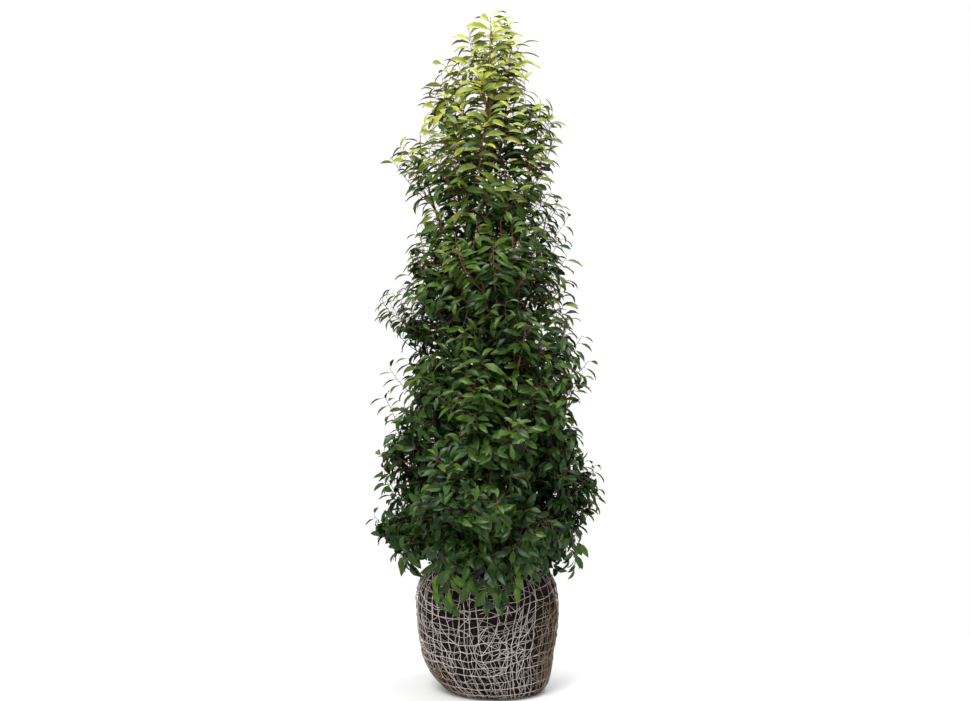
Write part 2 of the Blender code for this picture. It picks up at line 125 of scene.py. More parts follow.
def turned(heading: Vector, angle_out: float, angle_round: float) -> Vector:
    """A direction that stands off a heading.

    Args:
        heading: The direction that it starts from.
        angle_out: The angle between the two.
        angle_round: Its place round the heading, from the level side.

    Returns:
        The direction.
    """
    level, over = sides_of(heading)
    around = level * math.cos(angle_round) + over * math.sin(angle_round)
    return (heading * math.cos(angle_out) + around * math.sin(angle_out)).normalized()


def way_at(bearing: float, rise: float = 0.0) -> Vector:
    """The direction at a bearing, level or with this rise."""
    return Vector((math.cos(bearing), math.sin(bearing), rise))


def all_round(count: int) -> Array:
    """Evenly spaced angles all round."""
    return np.arange(count) * (math.tau / count)


def path_length(path: Path) -> float:
    """The length of a path."""
    return sum((b - a).length for a, b in zip(path, path[1:]))


# Shader sheets


def operators(operation: str) -> tuple[Callable[["Wire", Any], "Wire"], ...]:
    """An operator of wires, which adds a Math node.

    Args:
        operation: What the node does.

    Returns:
        The operator, and its reflected form.
    """

    def forward(wire: "Wire", other: Any) -> "Wire":
        """The operator with the wire first."""
        return wire.sheet.node("ShaderNodeMath", {"operation": operation}, {0: wire, 1: other})

    def reflected(wire: "Wire", other: Any) -> "Wire":
        """The operator with the wire last."""
        return wire.sheet.node("ShaderNodeMath", {"operation": operation}, {0: other, 1: wire})

    return forward, reflected


class Wire:
    """A shader socket that takes part in arithmetic."""

    def __init__(self, sheet: "Sheet", socket: bpy.types.NodeSocket) -> None:
        """Wraps one output socket of a sheet."""
        self.sheet = sheet
        self.socket = socket

    __add__, __radd__ = operators("ADD")
    __sub__, __rsub__ = operators("SUBTRACT")
    __mul__, __rmul__ = operators("MULTIPLY")
    __pow__, __rpow__ = operators("POWER")


class Sheet:
    """The node tree of a material or of the studio's surround, with its shader."""

    def __init__(self, owner: bpy.types.Material | bpy.types.World, shader: str) -> None:
        """Opens the node tree of a new material or world.

        Args:
            owner: The material or world.
            shader: The name of the shader node that it starts with.
        """
        owner.use_nodes = True
        self.owner = owner
        self.tree = owner.node_tree
        self.shader = self.tree.nodes[shader]

    def node(
        self,
        kind: str,
        settings: dict[str, Any] | None = None,
        inputs: dict[str | int, Any] | None = None,
        output: str | int = 0,
    ) -> Wire:
        """Adds a node.

        Args:
            kind: The node's type.
            settings: Its settings.
            inputs: A wire, a number or a tuple for each socket that is named.
            output: The socket that the wire leaves from.

        Returns:
            The wire from that socket.
        """
        made = self.tree.nodes.new(kind)
        for key, value in (settings or {}).items():
            setattr(made, key, value)
        for key, value in (inputs or {}).items():
            self.feed(made.inputs[key], value)
        return Wire(self, made.outputs[output])

    def feed(self, socket: bpy.types.NodeSocket, value: Any) -> None:
        """Links a wire to a socket, or sets the socket.

        Args:
            socket: The socket.
            value: A wire, a number, or a tuple of a colour's or a vector's parts.
        """
        if isinstance(value, Wire):
            self.tree.links.new(value.socket, socket)
        elif isinstance(value, tuple) and len(socket.default_value) > len(value):
            socket.default_value = (*value, 1)
        else:
            socket.default_value = value

    def set(self, **values: Any) -> None:
        """Sets the shader's sockets, named with _ for each space."""
        for key, value in values.items():
            self.feed(self.shader.inputs[key.replace("_", " ")], value)

    def blend(self, factor: Any, first: Any, second: Any) -> Wire:
        """A mix of two colours."""
        settings = {"data_type": "RGBA"}
        return self.node("ShaderNodeMix", settings, {0: factor, 6: first, 7: second}, 2)

    def place(self) -> Wire:
        """Where a point of the surface is, in metres."""
        return self.node("ShaderNodeTexCoord", output="Object")

    def grain(self, scale: float, detail: float = 3.0, place: Wire | None = None) -> Wire:
        """Noise from 0 to 1 with this many waves to the metre."""
        inputs = {"Vector": place or self.place(), "Scale": scale, "Detail": detail}
        return self.node("ShaderNodeTexNoise", inputs=inputs)

    def stretched(self, along: float) -> Wire:
        """The surface's place, drawn out upwards by this factor."""
        inputs = {0: self.place(), 1: (1.0, 1.0, 1.0 / along)}
        return self.node("ShaderNodeVectorMath", {"operation": "MULTIPLY"}, inputs)

    def relief(self, height: Any, depth: float, strength: float = 1.0) -> None:
        """Feeds the shader a bump of this depth in metres."""
        inputs = {"Height": height, "Distance": depth, "Strength": strength}
        self.set(Normal=self.node("ShaderNodeBump", inputs=inputs))


# Finishes


def shade(colour: Colour, share: float) -> Colour:
    """A colour made this many times as bright."""
    return tuple(min(1.0, part * share) for part in colour)


def tones(colour: Colour, contrast: float) -> tuple[Colour, Colour]:
    """A colour darker and lighter by this share of it."""
    return shade(colour, 1 - contrast), shade(colour, 1 + contrast)


@dataclass(frozen=True)
class Finish:
    """A finish, which makes its material once."""

    name: str

    def material(self) -> bpy.types.Material:
        """Finds the material, or makes it.

        Returns:
            The finish's one material.
        """
        made = bpy.data.materials.get(self.name)
        if made is None:
            made = bpy.data.materials.new(self.name)
            self.dress(Sheet(made, "Principled BSDF"))
        return made

    def dress(self, sheet: Sheet) -> None:
        """Feeds the shader of the finish's sheet."""
        raise NotImplementedError


@dataclass(frozen=True)
class LeafFinish(Finish):
    """One face of a leaf: its colour, and how its skin shines."""

    colour: Colour
    roughness: float = 0.40
    specular: float = 0.32
    contrast: float = 0.28
    mottle_scale: float = 38.0
    shine_scale: float = 160.0
    shine_spread: float = 0.22
    vein_scale: float = 420.0
    vein_depth: float = 0.0006
    vein_strength: float = 0.35

    def dress(self, sheet: Sheet) -> None:
        """An even colour with slight mottling, and fine veins in the relief.

        Args:
            sheet: The material's sheet.
        """
        mottle = sheet.grain(self.mottle_scale)
        sheet.set(
            Base_Color=sheet.blend(mottle, *tones(self.colour, self.contrast)),
            Roughness=self.roughness + (sheet.grain(self.shine_scale) - 0.5) * self.shine_spread,
            Specular_IOR_Level=self.specular,
        )
        sheet.relief(sheet.grain(self.vein_scale, 2.0), self.vein_depth, self.vein_strength)


@dataclass(frozen=True)
class BarkFinish(Finish):
    """Bark with long furrows and pale breathing pores."""

    deep: Colour
    high: Colour
    roughness: float = 0.75
    furrow_scale: float = 90.0
    depth: float = 0.0012
    stretch: float = 5.0
    grain_ratio: float = 5.0
    grain_share: float = 0.3
    strength: float = 0.8

    def dress(self, sheet: Sheet) -> None:
        """Furrow noise drawn out along the limb, with fine grain on it.

        Args:
            sheet: The material's sheet.
        """
        furrows = sheet.grain(self.furrow_scale, 4.0, sheet.stretched(self.stretch))
        grain = sheet.grain(self.furrow_scale * self.grain_ratio)
        pattern = furrows * (1 - self.grain_share) + grain * self.grain_share
        sheet.set(
            Base_Color=sheet.blend(pattern, self.deep, self.high),
            Roughness=self.roughness + (grain - 0.5) * self.grain_share,
        )
        sheet.relief(pattern, self.depth, self.strength)


@dataclass(frozen=True)
class SoilFinish(Finish):
    """Moist dark soil, matted with fine roots."""

    dark: Colour = (0.0012, 0.0007, 0.0005)
    crumb: Colour = (0.0085, 0.0042, 0.0030)
    fibre: Colour = (0.026, 0.0130, 0.0088)
    roughness: float = 0.95
    specular: float = 0.12
    crumb_scale: float = 70.0
    crumb_power: float = 1.6
    fibre_scale: float = 240.0
    fibre_stretch: float = 0.3
    fibre_power: float = 3.0
    fibre_share: float = 1.4
    fibre_shine: float = 0.2
    depth: float = 0.003

    def dress(self, sheet: Sheet) -> None:
        """Crumbs of two browns with streaks of fibre, rough all over.

        Args:
            sheet: The material's sheet.
        """
        crumbs = sheet.grain(self.crumb_scale, 6.0)
        streaks = sheet.grain(self.fibre_scale, 3.0, sheet.stretched(self.fibre_stretch)) ** self.fibre_power
        ground = sheet.blend(crumbs**self.crumb_power, self.dark, self.crumb)
        sheet.set(
            Base_Color=sheet.blend(streaks * self.fibre_share, ground, self.fibre),
            Roughness=self.roughness - streaks * self.fibre_shine,
            Specular_IOR_Level=self.specular,
        )
        sheet.relief(crumbs * 0.6 + streaks, self.depth, 0.9)


@dataclass(frozen=True)
class StringFinish(Finish):
    """Loosely spun jute string."""

    colour: Colour
    roughness: float = 0.9
    contrast: float = 0.45
    fibre_scale: float = 900.0
    patch_scale: float = 55.0
    fibre_shine: float = 0.15
    depth: float = 0.0008

    def dress(self, sheet: Sheet) -> None:
        """Fuzzy fibres of two tones, rough and without shine.

        Args:
            sheet: The material's sheet.
        """
        fibres = sheet.grain(self.fibre_scale)
        tone = fibres * 0.5 + sheet.grain(self.patch_scale, 2.0) * 0.5
        sheet.set(
            Base_Color=sheet.blend(tone, *tones(self.colour, self.contrast)),
            Roughness=self.roughness - fibres * self.fibre_shine,
        )
        sheet.relief(fibres, self.depth, 0.7)


@dataclass(frozen=True)
class FloorFinish(Finish):
    """The studio's pale floor."""

    colour: Colour = (0.67, 0.67, 0.67)
    roughness: float = 0.9
    specular: float = 0.1
    glow: float = 0.06
    cloud_scale: float = 1.5
    cloud_shade: float = 0.995

    def dress(self, sheet: Sheet) -> None:
        """Matt, with hardly any mottling.

        Args:
            sheet: The material's sheet.
        """
        cloud = sheet.grain(self.cloud_scale, 2.0)
        sheet.set(
            Base_Color=sheet.blend(cloud, shade(self.colour, self.cloud_shade), self.colour),
            Roughness=self.roughness,
            Specular_IOR_Level=self.specular,
            Emission_Color=(1.0, 1.0, 1.0),
            Emission_Strength=self.glow,
        )


class Tint(Enum):
    """The greens that leaves are dealt by spray, and those of their undersides. The lightest greens and the
    pale underside are partly painted light shining through the top's leaves, and the darkest are partly
    painted shade; the rest is the leaves' own colour.
    """

    YOUNG = LeafFinish("leaf_young", (0.304, 0.336, 0.048), 0.42)
    LIME = LeafFinish("leaf_lime", (0.224, 0.258, 0.022), 0.38, 0.30)
    FRESH = LeafFinish("leaf_fresh", (0.100, 0.136, 0.009), 0.38, 0.32)
    MIDDLE = LeafFinish("leaf_middle", (0.046, 0.093, 0.0050), 0.42, 0.32)
    DARK = LeafFinish("leaf_dark", (0.0170, 0.0480, 0.0018), 0.42, 0.30)
    DEEP = LeafFinish("leaf_deep", (0.0048, 0.0215, 0.0009), 0.42, 0.25)
    # Painted light: this pale underside of the lightest leaves also stands in for light shining through
    # them.
    PALE_UNDER = LeafFinish("leaf_under_pale", (0.30, 0.345, 0.072), 0.6, 0.2)
    FRESH_UNDER = LeafFinish("leaf_under_fresh", (0.125, 0.172, 0.038), 0.6, 0.15)
    GREEN_UNDER = LeafFinish("leaf_under_green", (0.036, 0.079, 0.007), 0.6, 0.12)


TINTS = list(Tint)
GREENS = (Tint.DEEP, Tint.DARK, Tint.MIDDLE, Tint.FRESH, Tint.LIME, Tint.YOUNG)
UNDER = {Tint.YOUNG: Tint.PALE_UNDER, Tint.LIME: Tint.PALE_UNDER, Tint.FRESH: Tint.FRESH_UNDER}


# Meshes from arrays


@dataclass
class Form:
    """Points with four-cornered and three-cornered faces, each with its material slot."""

    points: Array
    quads: Array
    tris: Array
    quad_slots: Array
    tri_slots: Array


class Stack:
    """Many small forms gathered for one joined mesh."""

    def __init__(self, *forms: Form) -> None:
        """Starts with some forms, or empty.

        Args:
            forms: The forms.
        """
        self.forms: list[Form] = []
        self.count = 0
        for form in forms:
            self.add(form)

    def add(self, form: Form) -> None:
        """Adds a form, whose faces then count on from the points already here.

        Args:
            form: The form.
        """
        form.quads = form.quads + self.count
        form.tris = form.tris + self.count
        self.count += len(form.points)
        self.forms.append(form)

    def joined(self, name: str) -> Array:
        """One field of all forms, joined."""
        return np.concatenate([getattr(form, name) for form in self.forms])

    def make(self, name: str, finishes: Sequence[Finish], sharp: float) -> bpy.types.Object:
        """One joined mesh object in the scene.

        Args:
            name: The piece's name.
            finishes: One finish for each material slot.
            sharp: The angle in degrees above which an edge is drawn sharp.

        Returns:
            The object.
        """
        points, quads, tris = self.joined("points"), self.joined("quads"), self.joined("tris")
        corners = np.concatenate([quads.ravel(), tris.ravel()]).astype(np.int32)
        quad_starts = np.arange(len(quads)) * 4
        tri_starts = len(quads) * 4 + np.arange(len(tris)) * 3
        starts = np.concatenate([quad_starts, tri_starts]).astype(np.int32)
        slots = np.concatenate([self.joined("quad_slots"), self.joined("tri_slots")])
        mesh = bpy.data.meshes.new(name)
        mesh.vertices.add(len(points))
        mesh.vertices.foreach_set("co", points.astype(np.float32).ravel())
        mesh.loops.add(len(corners))
        mesh.loops.foreach_set("vertex_index", corners)
        mesh.polygons.add(len(starts))
        mesh.polygons.foreach_set("loop_start", starts)
        for finish in finishes:
            mesh.materials.append(finish.material())
        mesh.polygons.foreach_set("material_index", slots.astype(np.int32))
        mesh.update(calc_edges=True)
        mesh.validate()
        mesh.shade_smooth()
        mesh.set_sharp_from_angle(angle=math.radians(sharp))
        made = bpy.data.objects.new(name, mesh)
        bpy.context.scene.collection.objects.link(made)
        return made


def report(piece: bpy.types.Object, nodes: Sequence[str] = ()) -> None:
    """Seats a piece on the body, hides the solids that it stands for, and logs it.

    Args:
        piece: The finished piece.
        nodes: The solids that it stands for.
    """
    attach(piece, BODY)
    if nodes:
        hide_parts(*nodes)
    triangles = sum(len(face.vertices) - 2 for face in piece.data.polygons)
    LOG.info("%s: %d triangles", piece.name, triangles)


def fan(first: Array, second: Array, tip: int) -> Array:
    """Triangles from each pair of corners to one tip."""
    return np.stack([first, second, np.full(len(first), tip)], axis=-1)


def closed_skin(rings: Array, ends: Sequence[Array], slots: Any = 0) -> Form:
    """A closed skin over rings of points, with a fan at each end.

    Args:
        rings: The points, by ring and by place in the ring.
        ends: The middle of the first ring's fan and of the last one's.
        slots: The material slot, or one for each step from ring to ring.

    Returns:
        The skin.
    """
    count, sides = rings.shape[:2]
    row = np.arange(sides)
    after = (row + 1) % sides
    starts = np.arange(count - 1)[:, None] * sides
    corners = [starts + row, starts + after, starts + sides + after, starts + sides + row]
    last = (count - 1) * sides
    tip = count * sides
    steps = np.broadcast_to(np.asarray(slots), (count - 1,))
    return Form(
        np.concatenate([rings.reshape(-1, 3), ends]),
        np.stack(corners, axis=-1).reshape(-1, 4),
        np.concatenate([fan(after, row, tip), fan(last + row, last + after, tip + 1)]),
        np.repeat(steps, sides),
        np.repeat([steps[0], steps[-1]], sides),
    )


def copies(points: Array, quads: Array, tris: Array, *slots: Array) -> Form:
    """Many small things with the same faces as one form.

    Args:
        points: The points, by thing and by place in it.
        quads: One thing's four-cornered faces.
        tris: One thing's three-cornered faces.
        slots: Each thing's material slots, one array for each equal part of its faces.

    Returns:
        The form.
    """
    count, each = points.shape[:2]
    starts = (np.arange(count) * each)[:, None, None]
    parts = np.stack(slots, axis=1)
    return Form(
        points.reshape(-1, 3),
        (quads + starts).reshape(-1, 4),
        (tris + starts).reshape(-1, 3),
        np.repeat(parts, len(quads) // len(slots), axis=1).ravel(),
        np.repeat(parts, len(tris) // len(slots), axis=1).ravel(),
    )


def path_frames(path: Array) -> tuple[Array, Array]:
    """Directions across a path that turn as little as they can.

    Args:
        path: Its points, one row a point.

    Returns:
        Two directions square to the path, and to each other, at each point.
    """
    ahead = np.gradient(path, axis=0)
    ahead /= np.linalg.norm(ahead, axis=1, keepdims=True) + TINY
    side = np.cross(ahead[0], (0.0, 0.0, 1.0))
    if np.linalg.norm(side) < 0.2:
        side = np.cross(ahead[0], (0.0, 1.0, 0.0))
    sides = np.empty_like(path)
    for i, way in enumerate(ahead):
        side = side - way * np.dot(side, way)
        side = side / (np.linalg.norm(side) + TINY)
        sides[i] = side
    return sides, np.cross(ahead, sides)


def tube(path: Any, radii: Array, sides: int, slots: Any = 0) -> Form:
    """A closed tapering tube.

    Args:
        path: The points of its axis.
        radii: Its radius at each point, or at each point and side.
        sides: How many sides it has.
        slots: The material slot, or one for each step of the path.

    Returns:
        The tube with a fan at each end.
    """
    path = np.array(path, dtype=float)
    across, over = path_frames(path)
    angles = all_round(sides)[None, :, None]
    ring = across[:, None] * np.cos(angles) + over[:, None] * np.sin(angles)
    radii = np.asarray(radii, dtype=float).reshape(len(path), -1)
    return closed_skin(path[:, None] + ring * radii[:, :, None], (path[0], path[-1]), slots)


# Root ball


@dataclass(frozen=True)
class BallForm:
    """The root ball's outline, from its flat foot to the pad under the trunk."""

    height: float = BALL_HEIGHT
    waist: float = 0.30
    half_width: float = 0.242
    foot_half_width: float = 0.135
    foot_shift: float = 0.035
    shift_height: float = 0.14
    shift_power: float = 1.5
    shoulder_power: float = 2.6
    pad_radius: float = 0.046
    lump: float = 0.012
    lumps_round: int = 3
    lump_slant: float = 9.0
    fine_steps: int = 200
    table_steps: int = 100
    outline_length: float = 0.72
    mean_radius: float = 0.23

    def outline(self) -> tuple[Array, Array, Array]:
        """The outline from foot to pad: a quarter oval, then a fuller shoulder.

        Returns:
            Shares along it, with the height and the half width at each.
        """
        turn = np.linspace(0, math.pi / 2, self.fine_steps)
        low = self.waist * (1 - np.cos(turn))
        low_width = mix(self.foot_half_width, self.half_width, np.sin(turn))
        power = 2 / self.shoulder_power
        last = math.acos((self.pad_radius / self.half_width) ** (1 / power))
        turn = np.linspace(0, last, self.fine_steps)[1:]
        high = mix(self.waist, self.height, np.sin(turn) ** power / math.sin(last) ** power)
        high_width = self.half_width * np.cos(turn) ** power
        heights = np.concatenate([low, high])
        widths = np.concatenate([low_width, high_width])
        run = np.concatenate([[0], np.cumsum(np.hypot(np.diff(heights), np.diff(widths)))])
        return run / run[-1], heights, widths

    def points(self, bearing: Array, share: Array) -> Array:
        """Points of the lopsided, slightly lumpy skin.

        Args:
            bearing: The angle of each round the ball.
            share: How far up the outline each lies.

        Returns:
            The points.
        """
        shares, heights, widths = self.outline()
        height = np.interp(share, shares, heights)
        width = np.interp(share, shares, widths)
        shift = self.foot_shift * np.maximum(0.0, 1 - height / self.shift_height) ** self.shift_power
        slant = self.lumps_round * bearing + self.lump_slant * height
        swell = np.sin(slant) * np.sin(math.pi * height / self.height)
        width = width * (1 + self.lump * swell)
        return np.stack([shift + width * np.cos(bearing), width * np.sin(bearing), height], axis=-1)

    def skin(self, bearing: Array, share: Array) -> tuple[Array, Array]:
        """Points of the skin with the way out of it.

        Args:
            bearing: The angle of each round the ball.
            share: How far up the outline each lies.

        Returns:
            The points, and the direction out of the skin at each.
        """
        step = 1e-3
        round_way = self.points(bearing + step, share) - self.points(bearing - step, share)
        up_way = self.points(bearing, share + step) - self.points(bearing, share - step)
        out = np.cross(round_way, up_way)
        out /= np.linalg.norm(out, axis=-1, keepdims=True) + TINY
        return self.points(bearing, share), out

    def stray(
        self, chance: np.random.Generator, count: int, bend: float, span: Span, step: float
    ) -> tuple[Array, Array]:
        """A path that strays over the skin from a place drawn by chance.

        Args:
            chance: What draws its start and its turns.
            count: How many points it has.
            bend: How much it turns at each.
            span: The lowest and the highest share where it may start.
            step: The distance between points.

        Returns:
            A bearing and a share for each point.
        """
        turn = chance.uniform(0, math.tau) + np.cumsum(chance.normal(0, bend, count))
        share = chance.uniform(*span) + np.cumsum(np.sin(turn)) * step / self.outline_length
        bearing = chance.uniform(0, math.tau) + np.cumsum(np.cos(turn)) * step / self.mean_radius
        return bearing, share

    def half_width_at(self) -> Callable[[float], float]:
        """The ball's half width, looked up in a table.

        Returns:
            A function that gives the half width at a height.
        """
        _, heights, widths = self.outline()
        last = self.table_steps - 1
        table = np.interp(np.linspace(0, self.height, self.table_steps), heights, widths).tolist()
        return lambda height: table[min(last, max(0, int(height / self.height * last)))]


def ruggedness(points: Array, scale: float, octaves: int) -> Array:
    """Noise from about -1 to 1 at each point."""
    return np.array([noise.fractal(Vector(point) * scale, 0.9, 2.1, octaves) for point in points])


@dataclass
class RootBall:
    """The soil with its matted roots."""

    shape: BallForm = BallForm()
    sides: int = 168
    rings: int = 84
    crumb_scale: float = 34.0
    crumb_octaves: int = 4
    crumb_depth: float = 0.0065
    deepest_crumb: float = 1.3
    even_foot: float = 0.03
    root_count: int = 420
    root_radius: float = 0.0008
    root_spread: Span = (0.6, 1.6)
    root_points: tuple[int, int] = (6, 16)
    root_step: float = 0.009
    root_bend: float = 0.45
    root_span: Span = (0.03, 0.93)
    root_lift: Span = (-0.0035, 0.0004)
    floor_gap: float = 0.002
    sharp: float = 60

    def build(self) -> None:
        """Makes the soil and the roots that show on it."""
        self.build_soil()
        self.build_roots()

    def build_soil(self) -> None:
        """The crumbly skin, sunk a little below the net, on its flat foot."""
        bearing, share = np.meshgrid(all_round(self.sides), np.linspace(0, 1, self.rings))
        points, out = self.shape.skin(bearing, share)
        rugged = ruggedness(points.reshape(-1, 3), self.crumb_scale, self.crumb_octaves)
        dent = (0.55 - 0.5 * rugged.reshape(share.shape)).clip(0, self.deepest_crumb)
        fade = np.minimum(1.0, points[..., 2] / self.even_foot)
        rings = points - out * (dent * fade * self.crumb_depth)[..., None]
        skin = closed_skin(rings, (rings[0].mean(axis=0), rings[-1].mean(axis=0)))
        report(Stack(skin).make("soil_ball", [SoilFinish("moist_soil")], self.sharp), ["root_ball"])

    def build_roots(self) -> None:
        """Fine roots that wander over the soil, under the net."""
        chance = np.random.default_rng(SEED)
        stack = Stack()
        for _ in range(self.root_count):
            count = int(chance.integers(*self.root_points))
            bearing, share = self.shape.stray(chance, count, self.root_bend, self.root_span, self.root_step)
            points, out = self.shape.skin(bearing, share.clip(0.02, 0.97))
            path = points + out * chance.uniform(*self.root_lift)
            path[:, 2] = path[:, 2].clip(self.floor_gap, None)
            radius = self.root_radius * chance.uniform(*self.root_spread)
            stack.add(tube(path, np.linspace(radius, radius * 0.5, count), 3, int(chance.integers(0, 2))))
        finishes = [
            BarkFinish("root_brown", (0.012, 0.0055, 0.004), (0.045, 0.022, 0.014), 0.9),
            BarkFinish("root_tan", (0.03, 0.018, 0.012), (0.10, 0.062, 0.043), 0.9),
        ]
        report(stack.make("soil_roots", finishes, self.sharp))


@dataclass
class Netting:
    """The string net, drawn up round the ball and gathered at the trunk.

    Each lift is how far off the soil's skin the axes of one layer of string lie.
    """

    shape: BallForm = BallForm()
    uprights: int = 54
    hoops: int = 21
    crossings: int = 170
    fine_threads: int = 330
    loose_ends: int = 34
    loose_steps: int = 5
    loose_step: float = 0.0055
    loose_start: float = 0.004
    loose_droop: tuple[float, ...] = (0, 0, -0.22)
    knotted_share: float = 0.72
    string_radius: float = 0.00108
    string_spread: Span = (0.82, 1.2)
    fine_radius: float = 0.00080
    upright_lift: float = 0.0034
    hoop_lift: float = 0.0048
    crossing_lift: float = 0.0060
    under_upright_lift: float = 0.0014
    under_hoop_lift: float = 0.0024
    thread_lift: float = 0.0010
    knot_lift: float = 0.0045
    side_rise: float = 0.032
    sag: float = 0.048
    sag_bearing: float = math.radians(-100)
    under_uprights: int = 62
    under_hoops: int = 15
    under_share: float = 0.64
    under_sag: float = 0.012
    under_run: int = 9
    foot_share: float = 0.035
    pad_share: float = 0.985
    straightness: float = 0.45
    thread_step: float = 0.012
    thread_bend: float = 0.22
    thread_span: Span = (0.05, 0.9)
    knot_ends: float = 0.45
    knot_spread: Span = (1.3, 1.9)
    crossing_bow: float = 0.022
    waver: float = 0.0004
    sharp: float = 80

    def build(self) -> None:
        """Makes the strings, their knots and their loose ends as one piece."""
        self.chance = np.random.default_rng(SEED + 4)
        self.stack = Stack()
        self.knots = self.knot_places()
        self.lay_uprights()
        self.lay_hoops()
        self.lay_under_net()
        self.lay_crossings()
        self.lay_fine_threads()
        self.tie_knots()
        self.hang_loose_ends()
        finishes = [
            StringFinish("string_clean", (0.470, 0.405, 0.378)),
            StringFinish("string_grey", (0.270, 0.232, 0.216)),
            StringFinish("string_stained", (0.205, 0.145, 0.097)),
        ]
        report(self.stack.make("string_net", finishes, self.sharp), ["ball_net"])

    def knot_places(self) -> Array:
        """Where the uprights and the hoops cross, unevenly, as in a net drawn up by hand.

        Returns:
            The bearing and share of each knot, by upright and hoop.
        """
        i, j = np.meshgrid(np.arange(self.uprights), np.arange(self.hoops), indexing="ij")
        turn = math.tau * i / self.uprights
        rise = j / (self.hoops - 1)
        drift = 0.05 * np.sin(3 * turn + 5 * rise) + 0.035 * np.sin(7 * turn - 4 * rise)
        bearing = turn + drift + self.chance.normal(0, 0.016, i.shape)
        share = mix(self.foot_share, self.pad_share, rise)
        free = np.sin(math.pi * rise)
        wave = self.side_rise * np.cos(turn) - self.sag * np.cos(2 * (turn - self.sag_bearing))
        share = share + free * (0.45 + 0.9 * rise) * wave
        share = share + free * self.chance.normal(0, 0.0055, i.shape)
        return np.stack([bearing, share], axis=-1)

    def lay(self, places: Array, lift: float, radius: float, sides: int = 4) -> None:
        """Lays one string over the ball through these places.

        Args:
            places: A bearing and a share for each point.
            lift: How far off the skin its axis lies.
            radius: Its radius.
            sides: How many sides it has.
        """
        points, out = self.shape.skin(places[:, 0], places[:, 1])
        waver = self.chance.normal(0, self.waver, len(points))
        path = points + out * (lift + waver)[:, None]
        path[:, 2] = path[:, 2].clip(radius * 1.2, None)
        radii = radius * self.chance.uniform(*self.string_spread, len(points))
        self.stack.add(tube(path, radii, sides, self.stain(path[:-1])))

    def stain(self, points: Array) -> Array:
        """Picks clean, grey or soiled string, by where it lies.

        Args:
            points: One point of each step.

        Returns:
            The number of each step's finish.
        """
        x, z = points[:, 0], points[:, 2]
        right = ramp(x, 0.10, 0.21) * ramp(z, 0.42, 0.32)
        left = ramp(x, -0.05, -0.15) * ramp(z, 0.15, 0.08)
        soiled = 0.05 + 0.8 * right + 0.6 * left + 0.4 * ramp(z, 0.05, 0.0)
        draw = self.chance.uniform(0, 1, 1) * 0.7 + self.chance.uniform(0, 1, len(points)) * 0.3
        grey = self.chance.uniform() < 0.3
        return np.where(draw < soiled, 2, 1 if grey else 0)

    def smoothed(self, places: Array, closed: bool, steps: int = 3) -> Array:
        """A gentle curve through knots, between a straight run and a full curve.

        Args:
            places: The bearing and share of each knot.
            closed: True for a string that runs all round the ball.
            steps: How many points each stretch has.

        Returns:
            The bearing and share of each point.
        """
        if closed:
            turn = np.array([[math.tau, 0.0]])
            before, beyond = places[-1:] - turn, places[:2] + turn
        else:
            before, beyond = places[:1] * 2 - places[1:2], places[-1:] * 2 - places[-2:-1]
        places = np.concatenate([before, places, beyond])
        made = []
        for a, b, c, d in zip(places, places[1:], places[2:], places[3:]):
            for t in np.arange(steps) / steps:
                pull = (c - a) * t + (2 * a - 5 * b + 4 * c - d) * t**2 + (3 * b - a - 3 * c + d) * t**3
                made.append(mix(b + 0.5 * pull, mix(b, c, t), self.straightness))
        made.append(places[-2])
        return np.array(made)

    def lay_uprights(self) -> None:
        """The strings from the foot up over the shoulder to the trunk."""
        for i in range(self.uprights):
            self.lay(self.smoothed(self.knots[i], False), self.upright_lift, self.string_radius)

    def lay_hoops(self) -> None:
        """The strings round the ball."""
        for j in range(self.hoops):
            places = self.knots[:, j]
            order = np.argsort(places[:, 0])
            self.lay(self.smoothed(places[order], True), self.hoop_lift, self.string_radius * 0.95)

    def lay_under_net(self) -> None:
        """The lower half's second, looser layer, whose cells lie between those of the first."""
        i, j = np.meshgrid(np.arange(self.under_uprights), np.arange(self.under_hoops), indexing="ij")
        bearing = math.tau * (i + 0.4 * (j % 2)) / self.under_uprights
        bearing = bearing + self.chance.normal(0, 0.026, i.shape)
        share = mix(self.foot_share, self.under_share, j / (self.under_hoops - 1))
        share = share + self.chance.normal(0, 0.0085, i.shape)
        share = share - self.under_sag * np.cos(2 * (bearing - self.sag_bearing))
        knots = np.stack([bearing, share.clip(0.03, 0.9)], axis=-1)
        radius = self.string_radius * 0.8
        for row in knots:
            last = int(self.chance.integers(8, self.under_hoops + 1))
            self.lay(self.smoothed(row[:last], False), self.under_upright_lift, radius, 3)
        for ring in range(self.under_hoops):
            for first in range(0, self.under_uprights, self.under_run):
                numbers = first + np.arange(int(self.chance.integers(5, 10)))
                places = knots[numbers % self.under_uprights, ring].copy()
                places[:, 0] += math.tau * (numbers // self.under_uprights)
                self.lay(self.smoothed(places, False), self.under_hoop_lift, radius, 3)

    def lay_crossings(self) -> None:
        """Short strings that run askew between knots, most of them on the lower half."""
        for _ in range(self.crossings):
            i = int(self.chance.integers(0, self.uprights))
            j = int(self.hoops * self.chance.beta(1.3, 2.0))
            rise = int(self.chance.integers(1, 4))
            side = int(self.chance.integers(1, 3)) * (1 if self.chance.uniform() < 0.5 else -1)
            last = min(self.hoops - 2, j + rise)
            first = self.knots[i, min(j, self.hoops - 3)]
            end = self.knots[(i + side) % self.uprights, last].copy()
            end[0] += math.tau * ((i + side) // self.uprights)
            t = np.linspace(0, 1, max(4, 2 * (last - j) + 2))[:, None]
            bow = self.chance.normal(0, self.crossing_bow) * np.sin(math.pi * t) * np.array([[1.0, 0.15]])
            self.lay(mix(first, end, t) + bow, self.crossing_lift, self.string_radius * 0.85)

